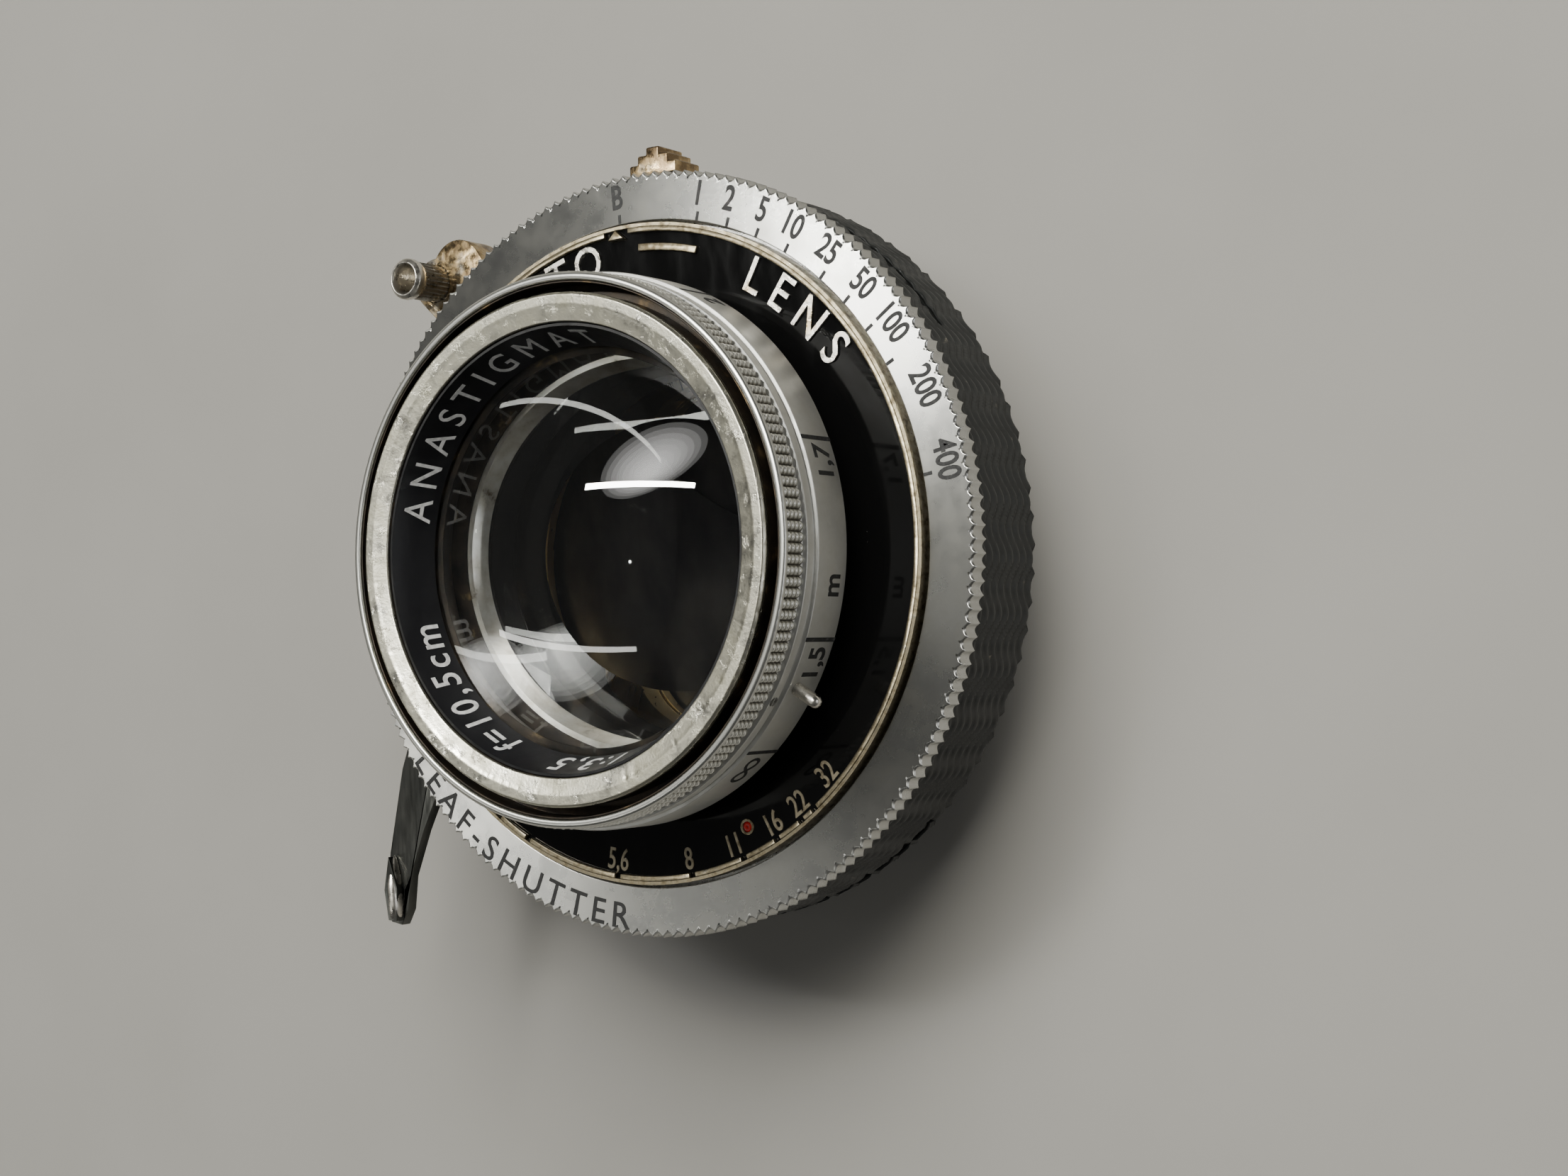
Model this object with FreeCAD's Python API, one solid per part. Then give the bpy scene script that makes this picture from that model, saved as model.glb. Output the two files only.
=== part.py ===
"""Front-cell focusing lens in a rim-set leaf shutter.

Frame: +Z is the optical axis and points out of the front of the lens. The origin is on
that axis, in the plane of the case's back, which is the seat against a lens board.
+Y passes through the shutter's index mark. Lengths are millimetres, angles degrees.
Angles marked "clock" run clockwise from the index mark, as read from the front.
"""
import FreeCAD, Part
import math
import os

V = FreeCAD.Vector
AXIS = V(0, 0, 1)

# ---------------------------------------------------------------- driving dimensions
CASE_R = 28.95             # metal of the case, under its ribbed skin
CASE_WALL = 1.0
CASE_TOP = 8.6
CASE_FLOOR = 1.0
SEAT_TUBE_R = 16.25        # M32.5 x 0.5 mounting thread
SEAT_TUBE_LENGTH = 4.4
SPIGOT_R = 15.9            # seat tube's spigot, let into the back of the case
SPIGOT_DEPTH = 0.6
SPIGOT_CONE = 0.35         # its tapered shoulder
CELL_THREAD_R = 14.75      # M29.5 x 0.5 cell threads
CLEAR_R = 12.1             # open aperture of the shutter

RING_R = 29.75             # speed ring
RING_BORE = 25.9
RING_FRONT = 10.2
RING_HEIGHT = 1.45
FACE_R = 25.62             # faceplate, over its rim
FACE_RIM = 0.25            # width of that rim
SCALE_R = 24.95            # inside of the raised stop scale
FACE_TOP = 10.5
SEGMENT_TOP = 10.86
TUBE_R = 16.0              # central tube of the works plate

SKIRT_R = 21.0             # focusing ring
SKIRT_REAR = 13.5
FOCUS_FRONT = 20.7
RIM_R = 19.08              # push-on rim of the front cell
RIM_FRONT = 21.1
NAME_R_FRONT = 16.6
GLASS_EDGE_R = 15.44
FRONT_LENS_R = 34.0        # radius of the front surface
FRONT_LENS_TOP = 20.5

REAR_END = -9.2            # rim that the lens stands on

IRIS_BLADES = 10
IRIS_PIVOT_R = 17.0
IRIS_BLADE_TURN = 36.7     # blade travel, wide open to f/32
APERTURE_TURN = 74.5       # lever travel, wide open to f/32
APERTURE_LEVER_ANGLE = 231.3

SHUTTER_BLADES = 5
SHUTTER_PIVOT_R = 17.5
SHUTTER_BLADE_TURN = 41.5  # closed to open
BLADE_RING_TURN = 8.0

MODULE = 0.35              # retard train
TRAIN_R = 22.3
SECTOR_TEETH = 28
PINION_TEETH = 10
WHEEL_TEETH = 26
SECTOR_ANGLE = -10.0

ARBOR_R = 0.4
RUN_GAP = 0.05             # running clearance, radial

APERTURE_MARKS = (-141.3, -149.2, -170.8, 172.7, 161.2, 153.5, 147.5, 144.2)  # clock

os.makedirs("parts", exist_ok=True)


# ---------------------------------------------------------------- shape helpers
def polar(r, angle):
    a = math.radians(angle)
    return r * math.cos(a), r * math.sin(a)


def clock(c):
    """Plain angle from +X of a clock angle."""
    return 90.0 - c


def turned(shape, angle, centre=(0.0, 0.0)):
    out = shape.copy()
    out.rotate(V(centre[0], centre[1], 0), AXIS, angle)
    return out


def pin(x, y, r, z0, z1):
    return Part.makeCylinder(r, z1 - z0, V(x, y, z0), AXIS)


def ring(r_in, r_out, z0, z1):
    return pin(0, 0, r_out, z0, z1).cut(pin(0, 0, r_in, z0 - 1, z1 + 1))


def prism(points, z0, z1):
    pts = [V(x, y, z0) for x, y in points]
    wire = Part.makePolygon(pts + pts[:1])
    return Part.Face(wire).extrude(V(0, 0, z1 - z0))


def lathe(profile, angle=360.0, start=0.0):
    """Solid of revolution of an outline of (radius, z) points about Z."""
    pts = [V(r, 0, z) for r, z in profile]
    face = Part.Face(Part.makePolygon(pts + pts[:1]))
    return turned(face.revolve(V(0, 0, 0), AXIS, angle), start)


def sector(r_in, r_out, a0, a1, z0, z1):
    return lathe([(r_in, z0), (r_out, z0), (r_out, z1), (r_in, z1)], a1 - a0, a0)


def bar(p, q, width, z0, z1):
    """Flat bar between two points, with round ends."""
    dx, dy = q[0] - p[0], q[1] - p[1]
    length = math.hypot(dx, dy)
    nx, ny = -dy / length * width / 2, dx / length * width / 2
    body = prism([(p[0] + nx, p[1] + ny), (q[0] + nx, q[1] + ny),
                  (q[0] - nx, q[1] - ny), (p[0] - nx, p[1] - ny)], z0, z1)
    ends = [pin(p[0], p[1], width / 2, z0, z1), pin(q[0], q[1], width / 2, z0, z1)]
    return body.multiFuse(ends)


def spun(point, angle, centre=(0.0, 0.0)):
    a = math.radians(angle)
    x, y = point[0] - centre[0], point[1] - centre[1]
    return (centre[0] + x * math.cos(a) - y * math.sin(a),
            centre[1] + x * math.sin(a) + y * math.cos(a))


def save(name, shape):
    shape = shape.removeSplitter()
    solids = shape.Solids
    shape = solids[0] if len(solids) == 1 else Part.makeCompound(solids)
    assert solids and shape.isValid(), name
    shape.exportStep("parts/%s.step" % name)


# ---------------------------------------------------------------- case
APERTURE_Z = (1.1, 1.5)            # aperture ring and its lever
COCKING_Z = (5.0, 5.7)             # cocking ring and its arm
RELEASE_Z = (5.0, 6.0)             # release lever
LEDGE_TOP = 2.5                    # ledge that carries the blade plate
CASE_BORE = CASE_R - CASE_WALL
CASE_EDGE = 0.4                    # broken edge round the back
BACK_OPENING_R = CLEAR_R + 0.2
LEDGE_BORE = CASE_BORE - 1.5
SLOT_SPAN = (CASE_BORE - 2.5, CASE_R + 0.6)
SLOT_SPARE = 5                     # angle left free at each end of the aperture lever's slot


def case_slot(a0, a1, z0, z1):
    return sector(*SLOT_SPAN, a0, a1, z0, z1)


case = lathe([(BACK_OPENING_R, 0), (CASE_R - CASE_EDGE, 0), (CASE_R, CASE_EDGE), (CASE_R, CASE_TOP),
              (CASE_BORE, CASE_TOP), (CASE_BORE, LEDGE_TOP), (LEDGE_BORE, LEDGE_TOP),
              (LEDGE_BORE, CASE_FLOOR), (BACK_OPENING_R, CASE_FLOOR)])
tube_outside = [(SEAT_TUBE_R, -SEAT_TUBE_LENGTH), (SEAT_TUBE_R, 0), (SPIGOT_R, SPIGOT_CONE),
                (SPIGOT_R, SPIGOT_DEPTH)]
tube_bore = CELL_THREAD_R + RUN_GAP
case = case.cut(lathe([(0, -SEAT_TUBE_LENGTH), *tube_outside, (0, SPIGOT_DEPTH)]))
case = case.cut(case_slot(APERTURE_LEVER_ANGLE - SLOT_SPARE,
                          APERTURE_LEVER_ANGLE + APERTURE_TURN + SLOT_SPARE,
                          CASE_FLOOR, APERTURE_Z[1] + 0.2))
case = case.cut(case_slot(clock(60), clock(-6), COCKING_Z[0] - 0.2, COCKING_Z[1] + 0.2))
case = case.cut(case_slot(195, 219, RELEASE_Z[0] - 0.15, RELEASE_Z[1] + 0.15))
LOCATING_R = 19.6                  # headless screw that stops the case turning on its board
LOCATING_SCREW_R = 1.0
LOCATING_STANDS = 1.2
locating = pin(LOCATING_R, 0, LOCATING_SCREW_R, -LOCATING_STANDS, SPIGOT_DEPTH)
save("shutter_case", case.cut(locating))
save("locating_screw", locating)
save("mount_tube", lathe([(tube_bore, -SEAT_TUBE_LENGTH), *tube_outside, (tube_bore, SPIGOT_DEPTH)]))

# cable-release boss: a lug on the case's side, and the socket screwed into it
LUG_Z = (1.9, 4.9)
LUG_TOP = polar(34.4, clock(-39.5))
SOCKET = polar(35.6, clock(-43.2))
SOCKET_R = 1.75                    # rolled mouth of the socket
BARREL_R = 1.6                     # its serrated barrel, which goes on into the lug
SOCKET_BORE = 1.15
SOCKET_FRONT = 8.9
MOUTH = 0.9
PUSH_ROD_R = 0.5                   # way through for the cable's core
LUG_ROOT = polar(27.6, clock(-41))
LUG_WIDTH = 5.6
EYE_ROOT = polar(28.6, clock(-43))
EYE_WIDTH = 4.4
lug = bar(LUG_ROOT, LUG_TOP, LUG_WIDTH, *LUG_Z)
lug = lug.fuse(bar(EYE_ROOT, SOCKET, EYE_WIDTH, *LUG_Z))
lug = lug.cut(pin(0, 0, CASE_R, 0, CASE_TOP))
lug = lug.cut(pin(*SOCKET, BARREL_R, LUG_Z[0] - 1, LUG_Z[1] + 1))
save("cable_lug", lug)

barrel = pin(*SOCKET, BARREL_R, LUG_Z[0], SOCKET_FRONT - MOUTH)
barrel = barrel.fuse(pin(*SOCKET, SOCKET_R, SOCKET_FRONT - MOUTH, SOCKET_FRONT))
barrel = barrel.cut(pin(*SOCKET, SOCKET_BORE, LUG_Z[1], SOCKET_FRONT + 1))
barrel = barrel.cut(pin(*SOCKET, PUSH_ROD_R, LUG_Z[0] - 1, SOCKET_FRONT))
save("cable_socket", barrel)

# ---------------------------------------------------------------- iris
IRIS_Z = 1.58                      # first blade layer
IRIS_STEP = 0.085
IRIS_THICK = 0.06
IRIS_ARM = 3.1                     # pivot to drive pin
DRIVE_PIN_R = 0.25
DRIVE_SLOT_HALF = 0.31
IRIS_RATIO = IRIS_BLADE_TURN / APERTURE_TURN
IRIS_BAND = (CLEAR_R, 15.2)         # inner and outer radius of a blade
IRIS_SWEEP = (-6, 140)             # angles it lies across from its pivot
IRIS_ROOT = (14.4, 0.0)
IRIS_NECK = 1.8
IRIS_TAIL = 1.1
IRIS_PIVOT = (IRIS_PIVOT_R, 0.0)
IRIS_DRIVE = (IRIS_PIVOT_R, -IRIS_ARM)


def iris_blade(layer):
    z0 = IRIS_Z + layer * IRIS_STEP
    z1 = z0 + IRIS_THICK
    half = (IRIS_BAND[1] - IRIS_BAND[0]) / 2
    blade = sector(*IRIS_BAND, *IRIS_SWEEP, z0, z1)
    blade = blade.fuse(pin(*polar(IRIS_BAND[0] + half, IRIS_SWEEP[1]), half, z0, z1))
    blade = blade.multiFuse([bar(IRIS_ROOT, IRIS_PIVOT, IRIS_NECK, z0, z1),
                             bar(IRIS_PIVOT, IRIS_DRIVE, IRIS_TAIL, z0, z1)])
    blade = blade.cut(pin(IRIS_PIVOT_R, 0, ARBOR_R + RUN_GAP, 0, 4))
    return blade.fuse(pin(*IRIS_DRIVE, DRIVE_PIN_R, APERTURE_Z[0] + 0.05, z0))


for i in range(IRIS_BLADES):
    save("iris_blade_%02d" % (i + 1), turned(iris_blade(i), 360.0 / IRIS_BLADES * i))


def cam_slot(steps=12):
    """Slot that the iris drive pin follows in the turning aperture ring."""
    path = []
    for k in range(-1, steps + 2):
        turn = APERTURE_TURN * k / steps
        drive = spun(IRIS_DRIVE, turn * IRIS_RATIO, IRIS_PIVOT)
        path.append(spun(drive, -turn))
    sides = ([], [])
    for (x0, y0), (x1, y1) in zip(path[:-1], path[1:]):
        length = math.hypot(x1 - x0, y1 - y0)
        nx, ny = -(y1 - y0) / length * DRIVE_SLOT_HALF, (x1 - x0) / length * DRIVE_SLOT_HALF
        sides[0].append(((x0 + x1) / 2 + nx, (y0 + y1) / 2 + ny))
        sides[1].append(((x0 + x1) / 2 - nx, (y0 + y1) / 2 - ny))
    return prism(sides[0] + sides[1][::-1], 0, 3)


APERTURE_RING_R = 20.6
aperture_ring = ring(CLEAR_R + 0.2, APERTURE_RING_R, *APERTURE_Z)
slot = cam_slot()
for i in range(IRIS_BLADES):
    aperture_ring = aperture_ring.cut(turned(slot, 360.0 / IRIS_BLADES * i))
save("aperture_ring", aperture_ring)

THUMB_SPAN = (30.1, 31.2)           # the lever's thumb piece, outside the case
THUMB_HALF = 2.6                   # half its width, as an angle
THUMB_Z = (0.5, 3.6)
LEVER_WIDTH = 2.4
lever = bar(polar(APERTURE_RING_R - 0.6, APERTURE_LEVER_ANGLE),
            polar(THUMB_SPAN[0] + 0.3, APERTURE_LEVER_ANGLE), LEVER_WIDTH, *APERTURE_Z)
lever = lever.cut(pin(0, 0, APERTURE_RING_R, 0, 3))
thumb = sector(*THUMB_SPAN, APERTURE_LEVER_ANGLE - THUMB_HALF, APERTURE_LEVER_ANGLE + THUMB_HALF, *THUMB_Z)
save("aperture_lever", lever.fuse(thumb))

# ---------------------------------------------------------------- plates and pivots
BLADE_PLATE_Z = (2.5, 2.8)
PLATE_R = CASE_BORE - RUN_GAP
save("blade_plate", ring(CLEAR_R + 0.1, PLATE_R, *BLADE_PLATE_Z))
iris_pivots = [pin(*polar(IRIS_PIVOT_R, 360.0 / IRIS_BLADES * i), ARBOR_R, IRIS_Z - 0.02,
                   BLADE_PLATE_Z[0]) for i in range(IRIS_BLADES)]
save("iris_pivots", Part.makeCompound(iris_pivots))

# ---------------------------------------------------------------- shutter blades
SHUTTER_Z = 2.88
SHUTTER_STEP = 0.11
SHUTTER_THICK = 0.07
BLADE_RING_Z = (3.5, 3.9)
SHUTTER_PIVOT = (SHUTTER_PIVOT_R, 0.0)
SHUTTER_RIVET_R = 0.5
SHUTTER_EAR_R = 1.3                # round end of a blade about its pivot
SHUTTER_DRIVE = (SHUTTER_PIVOT_R - 3.2, 0.0)
BLADE_DRIVE_R = 0.3
BLADE_LEAD = 84.0                  # angle from one blade's edge to its trailing edge


def shutter_blade(layer):
    """Crescent bounded by the opening it leaves free and by two arcs of its own."""
    z0 = SHUTTER_Z + layer * SHUTTER_STEP
    z1 = z0 + SHUTTER_THICK
    free = spun((0.0, 0.0), SHUTTER_BLADE_TURN, SHUTTER_PIVOT)
    trail = spun(free, BLADE_LEAD)
    blade = pin(0, 0, CLEAR_R + 0.8, z0, z1)
    blade = blade.common(pin(trail[0], trail[1], CLEAR_R + 0.6, z0, z1))
    blade = blade.cut(pin(free[0], free[1], CLEAR_R, z0 - 1, z1 + 1))
    ear = prism([(11.2, 0.0), polar(12.8, -10), (SHUTTER_PIVOT_R, -SHUTTER_EAR_R),
                 (SHUTTER_PIVOT_R, SHUTTER_EAR_R), polar(12.8, 22)], z0, z1)
    ear = ear.cut(pin(free[0], free[1], CLEAR_R, z0 - 1, z1 + 1))
    blade = blade.multiFuse([ear, pin(*SHUTTER_PIVOT, SHUTTER_EAR_R, z0, z1)])
    blade = blade.cut(pin(*SHUTTER_PIVOT, SHUTTER_RIVET_R + RUN_GAP, 0, 5))
    return blade.fuse(pin(*SHUTTER_DRIVE, BLADE_DRIVE_R, z1, BLADE_RING_Z[1] - 0.05))


for i in range(SHUTTER_BLADES):
    save("shutter_blade_%d" % (i + 1), turned(shutter_blade(i), 360.0 / SHUTTER_BLADES * i))

WORKS_Z = (4.0, 4.8)
shutter_pivots = [pin(*polar(SHUTTER_PIVOT_R, 360.0 / SHUTTER_BLADES * i), SHUTTER_RIVET_R,
                      BLADE_PLATE_Z[1], WORKS_Z[0]) for i in range(SHUTTER_BLADES)]
save("shutter_pivots", Part.makeCompound(shutter_pivots))

BLADE_ARM_ANGLE = 250.0
BLADE_ARM_R = 21.8
BLADE_ARM_WIDTH = 1.8
BLADE_RING_R = 16.6
blade_ring = ring(CLEAR_R + 0.3, BLADE_RING_R, *BLADE_RING_Z)
blade_ring = blade_ring.fuse(bar(polar(BLADE_RING_R - 0.8, BLADE_ARM_ANGLE),
                                 polar(BLADE_ARM_R, BLADE_ARM_ANGLE), BLADE_ARM_WIDTH, *BLADE_RING_Z))
for i in range(SHUTTER_BLADES):
    window = bar((13.9, 0.0), (15.6, 0.0), 2 * (BLADE_DRIVE_R + 0.2), 3, 5)
    blade_ring = blade_ring.cut(turned(window, 360.0 / SHUTTER_BLADES * i))
blade_ring = blade_ring.fuse(pin(*polar(BLADE_ARM_R, BLADE_ARM_ANGLE), 0.5, BLADE_RING_Z[1], 5.8))
save("blade_ring", blade_ring)

# ---------------------------------------------------------------- works plate
works = ring(CLEAR_R + 0.1, PLATE_R, *WORKS_Z)
works = works.fuse(ring(CELL_THREAD_R + RUN_GAP, TUBE_R, WORKS_Z[0], FACE_TOP - 0.1))
works = works.cut(pin(0, 0, CLEAR_R + 0.4, 3, 5))
works = works.cut(sector(BLADE_ARM_R - 0.8, BLADE_ARM_R + 0.8, BLADE_ARM_ANGLE - 3,
                         BLADE_ARM_ANGLE + BLADE_RING_TURN + 3, 3.5, 5))
SPACER_R = 1.2                     # posts that hold the works plate off the blade plate
SPACER_ANGLES = (40, 160, 290)
for angle in SPACER_ANGLES:
    works = works.fuse(pin(*polar(26.2, angle), SPACER_R, BLADE_PLATE_Z[1], WORKS_Z[0]))
save("works_plate", works)

# ---------------------------------------------------------------- cocking ring and lever
COCK_ANGLE = clock(3.0)
COCKING_RING_R = 19.0
COCKING_ARM = 3.0
COCKING_STEPS = ((30.0, 31.0, 4.6), (31.0, 31.7, 3.0), (31.7, 32.3, 1.3))   # from, to, width
COCKING_THUMB_Z = (4.4, 7.6)
save("cocking_ring", ring(TUBE_R + RUN_GAP, COCKING_RING_R, *COCKING_Z))

arm = bar(polar(COCKING_RING_R - 0.8, 90), polar(COCKING_STEPS[0][0], 90), COCKING_ARM, *COCKING_Z)
arm = arm.cut(pin(0, 0, COCKING_RING_R, 0, 9))
for r0, r1, width in COCKING_STEPS:
    half = width / 2
    arm = arm.fuse(prism([(-half, r0), (half, r0), (half, r1), (-half, r1)], *COCKING_THUMB_Z))
save("cocking_lever", turned(arm, COCK_ANGLE - 90))

SPRING_WIRE_R = 0.28
SPRING_COILS = 4
coils = [Part.makeTorus(TUBE_R + 0.6, SPRING_WIRE_R, V(0, 0, 6.25 + 0.5 * k))
         for k in range(SPRING_COILS)]
save("main_spring", coils[0].multiFuse(coils[1:]))

# ---------------------------------------------------------------- release lever
RELEASE_PIVOT = (-22.6, -4.0)
RELEASE_STUD_R = 0.8
RELEASE_HUB_R = 2.0
RELEASE_TAIL = (-18.4, 13.4)
TAIL_WIDTH = 1.8
FINGER_HEIGHT = 0.9
outline = [(-24.6, -3.0), (-27.6, -8.6), (-30.6, -15.4), (-32.6, -22.6), (-33.3, -26.6),
           (-32.9, -28.4), (-31.7, -28.7), (-30.9, -27.4), (-30.4, -24.6), (-28.6, -20.8),
           (-24.4, -13.6), (-21.2, -7.6), (-20.6, -4.4)]
release = prism(outline, *RELEASE_Z)
release = release.fuse(pin(*RELEASE_PIVOT, RELEASE_HUB_R, *RELEASE_Z))
release = release.fuse(bar(RELEASE_PIVOT, RELEASE_TAIL, TAIL_WIDTH, *RELEASE_Z))
finger = prism([(-32.4, -28.2), (-31.5, -28.3), (-31.2, -25.6), (-32.0, -22.8), (-32.7, -25.6)],
               RELEASE_Z[1], RELEASE_Z[1] + FINGER_HEIGHT)
release = release.fuse(finger)
release = release.cut(pin(*RELEASE_PIVOT, RELEASE_STUD_R + RUN_GAP, 0, 9))
save("release_lever", release)
stud = pin(*RELEASE_PIVOT, RELEASE_STUD_R, WORKS_Z[1], 6.4)
save("release_pivot", stud.fuse(pin(*RELEASE_PIVOT, RELEASE_STUD_R + 0.5, 6.1, 6.4)))
save("release_spring", sector(27.3, 27.55, 148, 186, 4.9, 5.9))


# ---------------------------------------------------------------- retard train
def gear_outline(teeth, phase):
    """Involute spur outline with one tooth centred on the angle phase."""
    pitch = MODULE * teeth / 2
    base = pitch * math.cos(math.radians(20))
    root, tip = pitch - 1.2 * MODULE, pitch + 0.8 * MODULE
    involute = math.tan(math.radians(20)) - math.radians(20)

    def half(r):
        a = math.acos(min(1.0, base / r))
        return 0.86 * math.pi / (2 * teeth) + involute - (math.tan(a) - a)

    flank = [(root, half(max(root, base))), (max(base, root + 0.01), half(base)),
             (pitch, half(pitch)), (tip, half(tip))]
    points = []
    for k in range(teeth):
        mid = math.radians(phase) + 2 * math.pi * k / teeth
        for r, h in flank:
            points.append((r * math.cos(mid - h), r * math.sin(mid - h)))
        for r, h in reversed(flank):
            points.append((r * math.cos(mid + h), r * math.sin(mid + h)))
    return points


def gear(teeth, phase, centre, z0, z1):
    points = [(x + centre[0], y + centre[1]) for x, y in gear_outline(teeth, phase)]
    return prism(points, z0, z1)


def heading(p, q):
    return math.degrees(math.atan2(q[1] - p[1], q[0] - p[0]))


def step_round(distance):
    """Angle between two arbors on the train circle that are a given distance apart."""
    return math.degrees(2 * math.asin(distance / (2 * TRAIN_R)))


sector_gap = MODULE * (SECTOR_TEETH + PINION_TEETH) / 2 + 0.03
wheel_gap = MODULE * (WHEEL_TEETH + PINION_TEETH) / 2 + 0.03
STAR_R = 2.3
star_gap = 4.5
angle_b = SECTOR_ANGLE - step_round(sector_gap)
angle_c = angle_b - step_round(wheel_gap)
angle_d = angle_c - step_round(star_gap)
arbor_angles = (SECTOR_ANGLE, angle_b, angle_c, angle_d)
arbor_a, arbor_b, arbor_c, arbor_d = [polar(TRAIN_R, angle) for angle in arbor_angles]
LOW = (6.0, 6.6)
HIGH = (7.0, 7.5)
BRIDGE_Z = (8.1, 8.5)

facing = heading(arbor_a, arbor_b)
fan = gear(SECTOR_TEETH, facing, arbor_a, *LOW)
wedge = prism([arbor_a, *[spun((arbor_a[0] + 9, arbor_a[1]), facing + a, arbor_a)
                          for a in (-38, -14, 12)]], 5, 8)
fan = fan.common(wedge).fuse(pin(*arbor_a, 1.2, LOW[0], LOW[1]))
save("retard_sector", fan.cut(pin(*arbor_a, ARBOR_R + RUN_GAP, 0, 9)))

half_tooth = 180.0 / PINION_TEETH
pinion_b = gear(PINION_TEETH, heading(arbor_b, arbor_a) + half_tooth, arbor_b, LOW[0] - 0.1, HIGH[0])
wheel_b = gear(WHEEL_TEETH, heading(arbor_b, arbor_c), arbor_b, *HIGH)
save("retard_wheel", pinion_b.fuse(wheel_b).cut(pin(*arbor_b, ARBOR_R + RUN_GAP, 0, 9)))

pinion_c = gear(PINION_TEETH, heading(arbor_c, arbor_b) + half_tooth, arbor_c, LOW[1], HIGH[1] + 0.1)
STAR_POINTS = 15
star = []
for k in range(2 * STAR_POINTS):
    star.append(spun((STAR_R if k % 2 else STAR_R - 0.7, 0.0), 180.0 / STAR_POINTS * k))
star = prism([(x + arbor_c[0], y + arbor_c[1]) for x, y in star], *LOW)
save("star_wheel", star.fuse(pinion_c).cut(pin(*arbor_c, ARBOR_R + RUN_GAP, 0, 9)))

toward = heading(arbor_d, arbor_c)
PALLET_ARM = 3.2
PALLET_WIDTH = 0.7
PALLET_SPREAD = 40                 # each arm from the line to the star wheel
anchor = pin(*arbor_d, 1.0, *LOW)
for side in (-1, 1):
    tip = spun((arbor_d[0] + PALLET_ARM, arbor_d[1]), toward + side * PALLET_SPREAD, arbor_d)
    anchor = anchor.fuse(bar(arbor_d, tip, PALLET_WIDTH, *LOW))
save("pallet_anchor", anchor.cut(pin(*arbor_d, ARBOR_R + RUN_GAP, 0, 9)))

save("train_arbors", Part.makeCompound([pin(*p, ARBOR_R, WORKS_Z[1], BRIDGE_Z[0])
                                        for p in (arbor_a, arbor_b, arbor_c, arbor_d)]))
BRIDGE_SPAN = (20.2, 26.0)
BRIDGE_POST_R = 1.0
bridge = sector(*BRIDGE_SPAN, angle_d - 9, SECTOR_ANGLE + 14, *BRIDGE_Z)
for angle in (angle_d - 6, SECTOR_ANGLE + 11):
    bridge = bridge.fuse(pin(*polar(24.2, angle), BRIDGE_POST_R, WORKS_Z[1], BRIDGE_Z[0]))
save("train_bridge", bridge)

# ---------------------------------------------------------------- speed ring and faceplate
CAM_Z = (8.8, 9.2)
save("speed_ring", lathe([(RING_BORE, RING_FRONT - RING_HEIGHT), (RING_R, RING_FRONT - RING_HEIGHT),
                          (RING_R, RING_FRONT), (RING_BORE, RING_FRONT)]))
cam = ring(TUBE_R + 0.3, RING_BORE, *CAM_Z)
CAM_SLOTS = ((20.5, 150, 245), (23.0, 20, 118), (24.0, -80, 8))     # radius, from, to
CAM_SLOT_HALF = 0.6
for r, a0, a1 in CAM_SLOTS:
    cam = cam.cut(sector(r - CAM_SLOT_HALF, r + CAM_SLOT_HALF, a0, a1, 8, 10))
save("speed_cam", cam)

FACE_BACK = 9.35
PLATE_EDGE = FACE_R - FACE_RIM
face = lathe([(TUBE_R + 0.02, FACE_BACK), (PLATE_EDGE, FACE_BACK), (PLATE_EDGE, FACE_TOP),
              (TUBE_R + 0.02, FACE_TOP)])
save("faceplate", face)
save("face_rim", ring(PLATE_EDGE, FACE_R, FACE_BACK, SEGMENT_TOP - 0.04))

marks = [c % 360 for c in APERTURE_MARKS]
segments = ring(SCALE_R, PLATE_EDGE, FACE_TOP, SEGMENT_TOP)
NOTCH_HALF = 0.6
INDEX_HALF = 2.6                   # half the gap that the index arrow stands in
for mark in marks:
    segments = segments.cut(sector(24, 27, clock(mark) - NOTCH_HALF, clock(mark) + NOTCH_HALF, 10, 12))
index = prism([(-0.8, SCALE_R - 0.35), (0.8, SCALE_R - 0.35), (0.0, PLATE_EDGE - 0.02)],
              FACE_TOP, SEGMENT_TOP + 0.1)
segments = segments.cut(sector(24, 27, 90 - INDEX_HALF, 90 + INDEX_HALF, 10, 12)).fuse(index)
DASH_SPAN = (23.45, 24.05)
dash = sector(*DASH_SPAN, clock(18.4), clock(4.8), FACE_TOP, FACE_TOP + 0.25)
save("face_scale", Part.makeCompound(segments.Solids + [dash]))

# ---------------------------------------------------------------- middle cell
MIDDLE_REAR = 5.6
MIDDLE_SHOULDER = 10.6             # rests on the end of the central tube
MIDDLE_FLOOR = 10.95
MIDDLE_FRONT = 13.9
MIDDLE_FLANGE_R = 17.2
GLASS_SEAT_R = 13.4
FEMALE_R = 16.2                    # thread for the front cell
middle = lathe([(GLASS_SEAT_R, MIDDLE_REAR), (CELL_THREAD_R, MIDDLE_REAR),
                (CELL_THREAD_R, MIDDLE_SHOULDER), (MIDDLE_FLANGE_R, MIDDLE_SHOULDER),
                (MIDDLE_FLANGE_R, MIDDLE_FRONT), (FEMALE_R, MIDDLE_FRONT), (FEMALE_R, MIDDLE_FLOOR),
                (GLASS_SEAT_R, MIDDLE_FLOOR), (GLASS_SEAT_R, 7.5), (11.9, 7.3), (11.9, 6.6),
                (GLASS_SEAT_R, 6.4)])
save("middle_cell", middle)


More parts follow.
